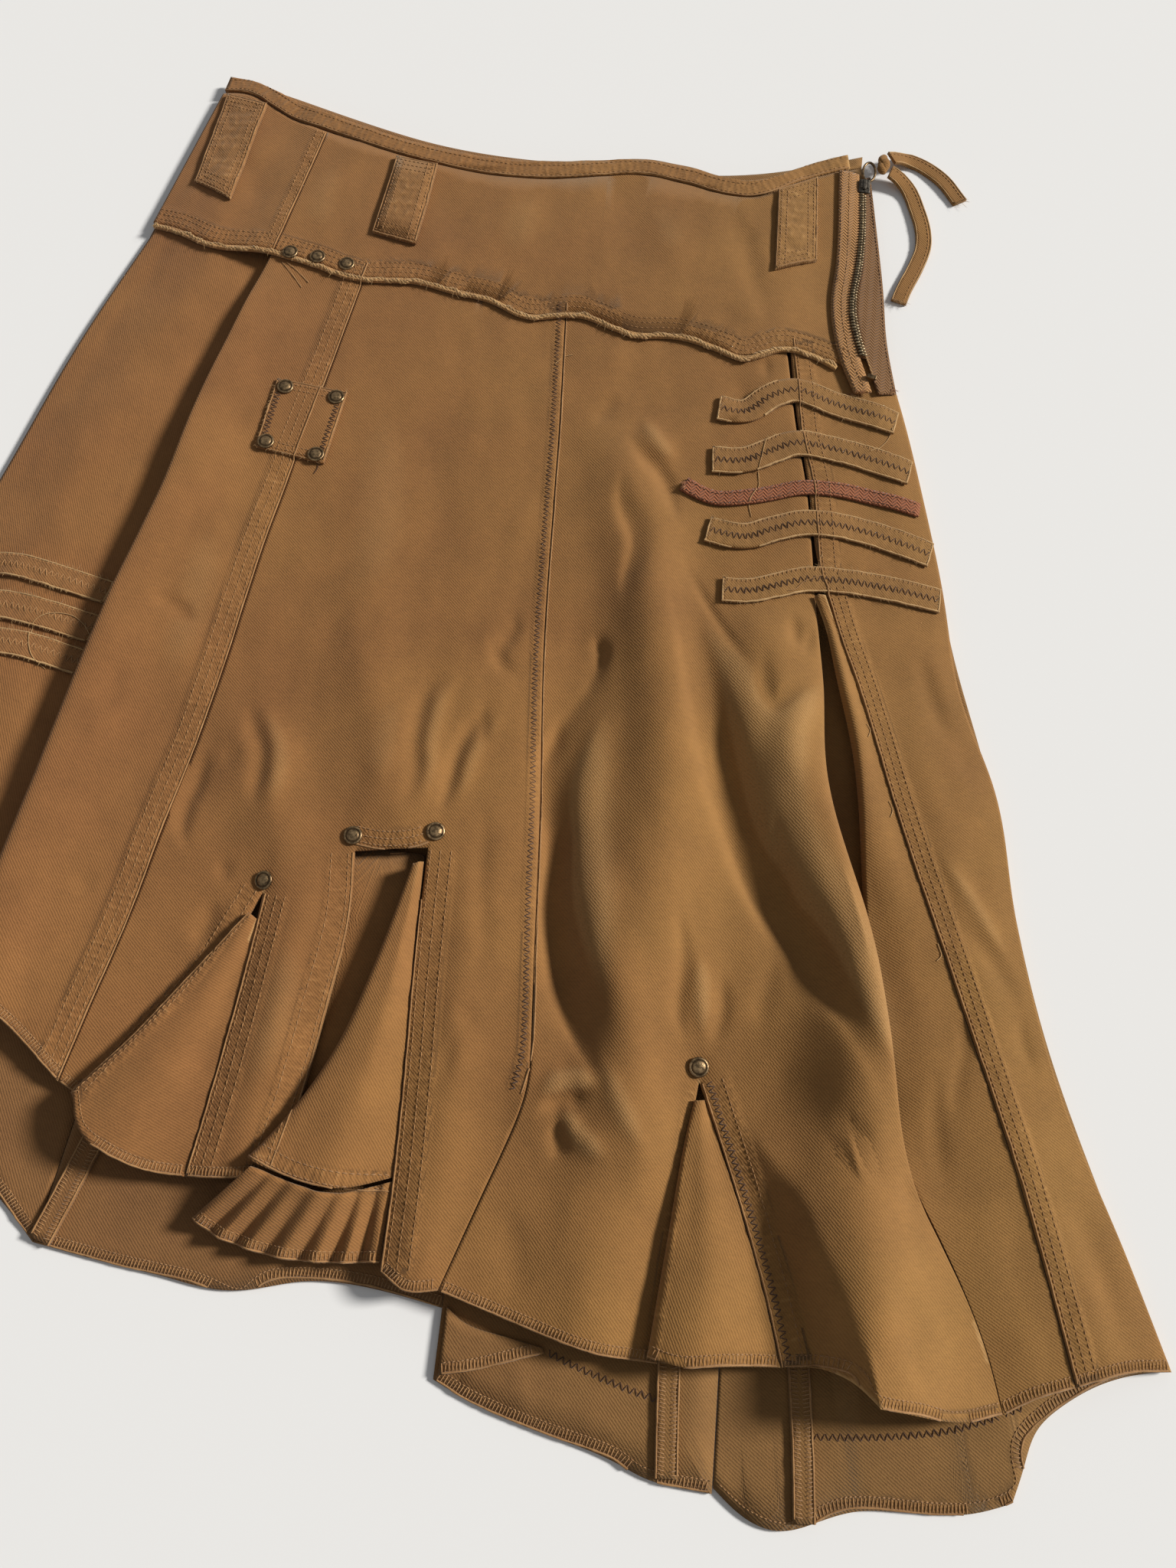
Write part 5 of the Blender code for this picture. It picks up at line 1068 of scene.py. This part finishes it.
def sew_all(threads, placing, cords, rng):
    stitches = {name: [] for name in threads}
    lines = {name: [] for name in threads}
    fibres = {name: [] for name in threads}
    for line, across, kind, pitch, width, thread in ROWS:
        stitches[thread] += sewn(line, across, kind, pitch, width, THREAD, None)
    for node, hem in HEMS:
        stitches["tan"] += sewn(hem, 0.5, "ladder", 1.5, LOOP_REACH, 0.55, [node])
        stitches["tan"] += sewn(hem, LOOP_REACH + 0.6, "run", 1.9, 0, 0.5, [node])
        lines["tan"] += [(run, 0.42) for run in edge_line(hem, 0.5, 0.0, [node])]
    for node, line, width in ALLOWANCES:
        for side in (-1, 1):
            edge = side * (width / 2 - 0.5)
            stitches["tan"] += sewn(line, edge, "ladder", 1.5, -side * 3.4, 0.5, [node])
            lines["tan"] += [(run, 0.4) for run in edge_line(line, edge, 0.0, [node])]
    for line, across, lift, radius, thread in EDGES:
        lines[thread] += [(run, radius) for run in edge_line(line, across, lift)]
    for node, line, width in STRIPS:
        on = [node]
        stitches["dark" if "right" in node else "tan"] += sewn(line, -2.0, "zigzag", 1.6, 4.0, 0.5, on)
        stitches["tan"] += sewn(line, width / 2 - 2.2, "ladder", 2.4, 1.8, 0.5, on)
        for side, radius in ((-1, 0.55), (1, 0.42)):
            lines["light"] += [(run, radius) for run in edge_line(line, side * (width / 2 - 0.4), -0.1, on)]
            fibres["light"] += frayed(line, side * (width / 2 - 0.3), 0.8, side * 2.2, 0.8, rng, on)
        ends = curve(line, 1.0)
        for end, back in ((ends[0], ends[1]), (ends[-1], ends[-2])):
            way = (end - back) / np.linalg.norm(end - back)
            half = np.array([-way[1], way[0]]) * (width / 2 - 0.8)
            rim = [end - half - way * 0.6, end - way * 0.4, end + half - way * 0.6]
            lines["light"] += [(run, 0.45) for run in edge_line(rim, 0, -0.1, on)]
            fibres["light"] += frayed(rim, 0, 1.6, 2.6, 0.9, rng, on)
    strip = ["hip_strip_right_3"]
    for side in (-1, 1):
        stitches["dark"] += sewn(TAPE_STRIP, side * (TAPE_STRIP_WIDTH / 2 - 1.4), "run", 2.4, 0, 0.45, strip)
    tip = TAPE_STRIP[0]
    fibres["rust"] += frayed([(tip[0] + 1, tip[1] - 3), (tip[0] + 0.6, tip[1] + 4)], 0, 5, 3.4, 0.7, rng, strip)
    for name, corners in LOOPS:
        sew_loop(name, corners, stitches, lines, fibres, rng)
    for name, line in TIES:
        for side in (-1, 1):
            lines["light"] += [(run, 0.32) for run in edge_line(line, side * (TIE_WIDTH / 2 - 0.5), 0, [name])]
        end, back = np.array(line[-1], float), np.array(line[-2], float)
        way = (end - back) / np.linalg.norm(end - back)
        half = np.array([-way[1], way[0]]) * (TIE_WIDTH / 2 - 0.6)
        rim = [end - half - way * 0.8, end - way * 0.8, end + half - way * 0.8]
        fibres["light"] += frayed(rim, 0, 4.0, -3.2, 0.7, rng, [name])
        stitches["tan"] += sewn(line, TIE_WIDTH / 2 - 2.2, "run", 2.6, 0, 0.45, [name])
    rolled_edge(lines, fibres, rng)
    for ends in (TAPE_FRONT_LEFT, TAPE_BACK_RIGHT):
        x, y = ends[-1]
        fibres["rust"] += frayed([(x - 4, y + 2), (x + 5, y + 2)], 0, 3, -3.0, 0.7, rng)
    for points, thread in LOOSE_THREADS:
        lines[thread] += [(run, 0.17) for run in edge_line(points, 0, 0.35, step=1.2)]
    for name, finish in threads.items():
        if stitches[name]:
            through("stitches_" + name, place_mesh(stitches[name]), placing, "cloth", Piece=STITCH,
                    Finish=finish, Turn=0.12, Unevenness=0.14, Seed=3)
        if fibres[name]:
            through("fray_" + name, place_mesh(fibres[name]), placing, "cloth", Piece=FIBRE, Finish=finish,
                    Turn=0.5, Unevenness=0.25, Seed=8)
        for k, radius in enumerate(sorted({radius for _, radius in lines[name]})):
            runs = [run for run, size in lines[name] if size == radius]
            through(f"edges_{name}_{k}", lines_mesh(runs), cords, "cloth", Finish=finish,
                    Radius=radius * MM, Wander=min(radius, 0.6) * 1.6 * MM, Unevenness=0.35, Seed=k + 2.0)


def sew_loop(name, corners, stitches, lines, fibres, rng):
    """Stitch rows inside each side of a belt loop or the patch, with its worn edges."""
    top_left, top_right, low_right, low_left = (np.array(c, float) for c in corners)
    sides = [(top_left, low_left, 1), (top_right, low_right, -1), (top_left, top_right, -1),
             (low_left, low_right, 1)]
    patch = name == "square_patch"
    for k, (start, end, inward) in enumerate(sides):
        line = [tuple(start), tuple((start + end) / 2), tuple(end)]
        if patch and k < 2:
            stitches["dark"] += sewn(line, inward * 1.4, "zigzag", 1.3, inward * 3.4, 0.55, [name])
        else:
            for inset in (2.2, 5.4) if patch or k < 2 else (2.2, 5.2, 8.4):
                stitches["tan"] += sewn(line, inward * inset, "run", 2.6, 0, 0.5, [name])
        radius = 0.42 if k in (1, 3) or patch else 0.3
        lines["tan"] += [(run, radius) for run in edge_line(line, inward * 0.5, -0.1, [name])]
        if patch or k in (1, 3):
            fibres["light"] += frayed(line, inward * 0.4, 1.2 if k == 3 else 0.6, -inward * 2.0, 0.8, rng, [name])


def rolled_edge(lines, fibres, rng):
    """The yoke's raw edge: two thick plies twisted round each other, and the fibres that stand off it."""
    middle = [(x, y - 1.7) for x, y in YOKE_LOW]
    for run in edge_line(middle, 0, -0.55, ["yoke_raw_edge"], 0.9):
        for turn in (0.0, 2.1, 4.2):
            ply = []
            for k, point in enumerate(run):
                angle = turn + k * 0.9 / 6.5 * 2 * math.pi
                at = point.x / MM
                wobble = 0.55 * math.sin(at / 3.1) + 0.45 * math.sin(at / 1.7 + 2) + 0.6 * math.sin(at / 7.3 + 1)
                apart = 0.62 + 0.3 * math.sin(at / 4.3 + turn)
                ply.append(point + Vector((0, math.cos(angle) * apart + wobble,
                                           math.sin(angle) * 0.5 - 0.1)) * MM)
            lines["light"].append((ply, 0.66))
    fibres["light"] += frayed(middle, -0.4, 2.0, -2.8, 0.9, rng, ["yoke_raw_edge"])
    fibres["light"] += frayed(middle, 0.4, 0.9, 2.0, 0.9, rng, ["yoke_raw_edge"])


# Rivets, zip and knot

def turned(name, profile, steps, centre, axis):
    """A closed form turned from (radius, height, crest) rows about an axis."""
    bm = bmesh.new()
    turn = Vector((0, 0, 1)).rotation_difference(axis)
    rings, crest = [], []
    for radius, height, shine in profile:
        count = 1 if radius == 0 else steps
        ring = []
        for k in range(count):
            angle = 2 * math.pi * k / steps
            spot = Vector((radius * math.cos(angle), radius * math.sin(angle), height)) * MM
            ring.append(bm.verts.new(centre + turn @ spot))
            crest.append(shine)
        rings.append(ring)
    for low, high in zip(rings, rings[1:]):
        for k in range(steps):
            n = (k + 1) % steps
            around = [low[k % len(low)], low[n % len(low)], high[n % len(high)], high[k % len(high)]]
            corners = [v for i, v in enumerate(around) if v not in around[:i]]
            bm.faces.new(corners)
    bmesh.ops.recalc_face_normals(bm, faces=bm.faces)
    mesh = bpy.data.meshes.new(name)
    bm.to_mesh(mesh)
    bm.free()
    mesh.shade_smooth()
    keep_on(mesh, "crest", crest)
    return mesh


RIVET = [
    # radius, height, how much it is worn bright and given a painted highlight
    (0, 0, 0), (4.2, 0, 0), (4.5, 0.25, 0.1), (4.5, 0.6, 0.3), (4.3, 0.95, 0.8), (3.9, 1.12, 1.0), (3.5, 1.08, 0.4),
    (3.25, 0.92, 0), (3.05, 0.95, 0), (2.8, 1.2, 0.4), (2.2, 1.48, 1.0), (1.2, 1.64, 1.0), (0, 1.7, 0.9),
]


def rivets(finish):
    for node in sorted(frame["nodes"]):
        if node.startswith("rivet"):
            points = points_of(frame["nodes"][node].data)
            middle = (points.max(axis=0) + points.min(axis=0)) / 2
            spread = np.linalg.svd(points - points.mean(axis=0), full_matrices=False)[2]
            axis = Vector(spread[2] if spread[2][2] > 0 else -spread[2])
            heights = (points - middle) @ np.array(axis)
            base = Vector(middle) + axis * float(heights.min())
            mesh = turned(node + "_head", RIVET, 36, base, axis)
            finish_piece(new_object(node + "_head", mesh, finish), [node])


def rounded_block(bm, centre, size, bevel, turn=0.0):
    """A block with rounded edges, in millimetres, turned about Z."""
    made = bmesh.ops.create_cube(bm, size=1.0)["verts"]
    for vert in made:
        x, y, z = vert.co.x * size[0], vert.co.y * size[1], vert.co.z * size[2]
        vert.co = Vector((x * math.cos(turn) - y * math.sin(turn), x * math.sin(turn) + y * math.cos(turn), z))
        vert.co += Vector(centre)
    edges = list({edge for vert in made for edge in vert.link_edges})
    bmesh.ops.bevel(bm, geom=edges, offset=bevel, segments=3, affect="EDGES", profile=0.6)


def finished_blocks(name, bm, finish, nodes):
    for vert in bm.verts:
        vert.co *= MM
    mesh = bpy.data.meshes.new(name)
    bm.to_mesh(mesh)
    bm.free()
    mesh.shade_smooth()
    # Half the crown's wear and painted highlight, evenly over these blocks.
    keep_on(mesh, "crest", np.full(len(mesh.vertices), 0.5))
    return finish_piece(new_object(name, mesh, finish), nodes)


def middle_of(node):
    low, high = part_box(node)
    return [(a + b) / 2 / MM for a, b in zip(low, high)], [(b - a) / MM for a, b in zip(low, high)]


def zip_parts(brass, bright, dark, placing):
    """Slider with its bridge, bottom stop, wire ring and the row of teeth."""
    (x, y, z), _ = middle_of("zip_slider")
    bm = bmesh.new()
    rounded_block(bm, (x, y, z - 0.5), (6.6, 9.6, 1.6), 0.7)
    rounded_block(bm, (x, y + 1.2, z + 0.4), (5.2, 6.2, 1.2), 0.5)
    rounded_block(bm, (x, y + 0.4, z + 1.0), (1.8, 7.4, 0.8), 0.35)
    finished_blocks("zip_slider_body", bm, dark, ["zip_slider"])
    (x, y, z), _ = middle_of("zip_stop")
    bm = bmesh.new()
    rounded_block(bm, (x, y, z), (5.2, 2.6, 1.6), 0.5, math.radians(-12))
    finished_blocks("zip_stop_bar", bm, brass, ["zip_stop"])
    (x, y, z), _ = middle_of("zip_ring")
    rows, sides = 48, 12
    bm = bmesh.new()
    rings = []
    for k in range(rows):
        turn = 2 * math.pi * k / rows
        at = Vector((x + 3.6 * math.cos(turn), y + 7.2 * math.sin(turn), z))
        out = Vector((math.cos(turn) / 3.6, math.sin(turn) / 7.2, 0)).normalized()
        rings.append([bm.verts.new(at + out * 0.72 * math.cos(a) + Vector((0, 0, 0.72 * math.sin(a))))
                      for a in (2 * math.pi * j / sides for j in range(sides))])
    for k in range(rows):
        for j in range(sides):
            a, b = rings[k], rings[(k + 1) % rows]
            n = (j + 1) % sides
            bm.faces.new((a[j], a[n], b[n], b[j]))
    bmesh.ops.recalc_face_normals(bm, faces=bm.faces)
    finished_blocks("zip_ring_wire", bm, brass, ["zip_ring"])
    tooth = small_piece("tooth", [(-0.5, 0, -0.1, 0), (-0.5, 0, -0.1, 0.34), (-0.34, 0, 0, 0.42),
                                  (0.3, 0, 0.05, 0.42), (0.5, 0, 0, 0.3), (0.5, 0, 0, 0)], 6)
    tooth.data.shade_smooth()
    places = []
    path = curve(ZIP_LINE, 1.0)
    for k in range(13, int(len(path) * 0.895)):
        ahead = path[min(k + 1, len(path) - 1)] - path[k - 1]
        ahead /= np.linalg.norm(ahead)
        right = np.array([-ahead[1], ahead[0]])
        side = 1 if k % 2 else -1
        spot = path[k] + right * side * 0.75
        found = seat(*spot, 0.0, ["zip_chain"])
        if found:
            way = Vector((right[0], right[1], 0)) * -side
            places.append((found[0] + found[1] * 0.2 * MM, tuple(way), tuple(found[1]),
                           (2.5 * MM, 1.6 * MM, 1.9 * MM)))
    through("zip_teeth", place_mesh(places), placing, "brass", Piece=tooth, Finish=bright, Turn=0.05,
            Unevenness=0.05, Seed=5)


def knot(finish):
    """The tie's knot round the pull: a lump of cloth with one turn crossing over another."""
    (x, y, z), size = middle_of("tie_knot")
    mesh = bpy.data.meshes.new("tie_knot_cloth")
    bm = bmesh.new()
    bmesh.ops.create_uvsphere(bm, u_segments=48, v_segments=32, radius=1.0)
    for vert in bm.verts:
        u, v, w = vert.co
        lump = 1 + 0.10 * math.sin(5.2 * v + 2.2 * u) - 0.16 * math.exp(-((v - 0.5 * u - 0.28) / 0.10) ** 2)
        lump -= 0.14 * math.exp(-((v + 0.7 * u + 0.34) / 0.09) ** 2)
        square = 1 + 0.12 * (1 - abs(v)) * abs(math.sin(2 * math.atan2(w, u)))
        vert.co = Vector((x + u * size[0] / 2 * lump * square, y + v * size[1] / 2,
                          z + w * size[2] / 2 * min(lump, 1.04) * square)) * MM
    bm.to_mesh(mesh)
    bm.free()
    mesh.shade_smooth()
    points = points_of(mesh)
    for name in ("band", "along", "across", "crest"):
        keep_on(mesh, name, np.zeros(len(points)))
    keep_on(mesh, "rim", np.full(len(points), 3.0))
    lay_grain(mesh, points, 35)
    finish_piece(new_object("tie_knot_cloth", mesh, finish), ["tie_knot"])


# Sheets of cloth, and the rectangles that they are cut from

SLENDER = 0.3          # a piece that fills less of its rectangle than this is a curved strip
NARROWEST = 0.01       # the least side that a flat size may state, in metres


def rectangle_round(points):
    """Sides of the smallest rectangle round the points in plan."""
    sides = []
    for degrees in range(90):
        turn = math.radians(degrees)
        across = points[:, 0] * math.cos(turn) + points[:, 1] * math.sin(turn)
        along = points[:, 1] * math.cos(turn) - points[:, 0] * math.sin(turn)
        sides.append((np.ptp(across), np.ptp(along)))
    return min(sides, key=lambda pair: pair[0] * pair[1])


def strip_length(mesh):
    """Length of a curved strip: of the straight one that has the same upper face and outline."""
    bm = bmesh.new()
    bm.from_mesh(mesh)
    upper = sum(face.calc_area() for face in bm.faces if face.normal.z > 0.5)
    outline = sum(edge.calc_length() for edge in bm.edges
                  if sum(face.normal.z > 0.5 for face in edge.link_faces) == 1)
    bm.free()
    return (outline / 2 + math.sqrt(max(outline ** 2 / 4 - 4 * upper, 0))) / 2


def declare(pieces):
    """Works out each cloth piece's cut, as far as it shows: the rectangle that it is cut from, and its area. The
    sizes are not passed on.
    """
    for node, obj in pieces.items():
        width, length = sorted(rectangle_round(points_of(obj.data)))
        area = sum(face.area for face in obj.data.polygons) / 2
        if node == "ruffle":
            length = max(length, area / width)
        elif area > width * length:             # an edge that is turned under is cloth too
            width = area / length
        elif area < SLENDER * width * length:
            length = strip_length(obj.data)
            width = area / length
        width, length = max(width, NARROWEST), max(length, NARROWEST)


# The worn colour serves both real wear on rims and a painted highlight on crests.
COTTON, WORN_AND_HIGHLIGHT, DEEP = (0.262, 0.122, 0.036), (0.56, 0.34, 0.14), (0.085, 0.032, 0.009)

place_camera()
light_studio()
lay_floor()
front_twill = twill("twill", COTTON, WORN_AND_HIGHLIGHT, DEEP)
back_twill = twill("twill_inside", (0.225, 0.110, 0.036), (0.44, 0.27, 0.12), (0.07, 0.03, 0.010), wear_and_highlight_scale=0.7)
strip_twill = twill("twill_strips", (0.262, 0.128, 0.040), (0.54, 0.33, 0.14), DEEP, wear_and_highlight_scale=1.1)
edge_twill = twill("twill_rolled", (0.46, 0.26, 0.10), (0.66, 0.44, 0.20), (0.20, 0.09, 0.03))
rust_tape = herringbone("rust_tape", (0.27, 0.092, 0.038), (0.56, 0.32, 0.16), (0.11, 0.035, 0.014))
zip_tape = herringbone("zip_tape", (0.36, 0.180, 0.062), (0.60, 0.38, 0.17), (0.13, 0.06, 0.022))
# A darker copy of the zip tape as painted shade, for the back tape and the chain's bed.
painted_shade_tape = herringbone("zip_tape_shaded", (0.19, 0.092, 0.032), (0.42, 0.25, 0.10), (0.07, 0.03, 0.012))
bright = metal("tooth_brass", (0.44, 0.34, 0.20), (0.12, 0.085, 0.05), (0.70, 0.58, 0.38), 0.34)
brass = metal("antique_brass", (0.15, 0.092, 0.042), (0.04, 0.024, 0.012), (0.46, 0.31, 0.16), 0.36)
dark = metal("dark_slider", (0.07, 0.06, 0.05), (0.02, 0.018, 0.016), (0.30, 0.26, 0.20), 0.42)
threads = {
    "light": yarn("light_thread", (0.36, 0.20, 0.075), (0.56, 0.36, 0.16)),
    "tan": yarn("tan_thread", (0.23, 0.110, 0.036), (0.42, 0.23, 0.09)),
    "dark": yarn("dark_thread", (0.050, 0.020, 0.008), (0.11, 0.05, 0.02)),
    "rust": yarn("rust_thread", (0.34, 0.13, 0.06), (0.56, 0.28, 0.13)),
}
slots = {row["node"]: row["material_slot"] for row in frame["record"]["subparts"]}
pieces = {}
for node in sorted(frame["nodes"]):
    slot = slots[node]
    if slot == "cloth" and node != "tie_knot":
        finish = back_twill if node.startswith(("back", "seam")) else front_twill
        finish = strip_twill if node.startswith(("hip", "belt")) else finish
        pieces[node] = cloth(node, finish, 3 if node in FINE else 2)
    elif slot == "tape":
        finish = {"yoke_raw_edge": edge_twill, "hip_strip_right_3": rust_tape,
                  "zip_tape_back": painted_shade_tape}.get(node, zip_tape)
        pieces[node] = cloth(node, finish, 2)
zip_bed = cloth("zip_chain", painted_shade_tape, 2)
ready_to_seat({**pieces, "zip_chain": zip_bed})
placing, cords = placing_tree(), cord_tree()
rng = random.Random(11)
sew_all(threads, placing, cords, rng)
rivets(brass)
zip_parts(brass, bright, dark, placing)
knot(front_twill)
declare(pieces)
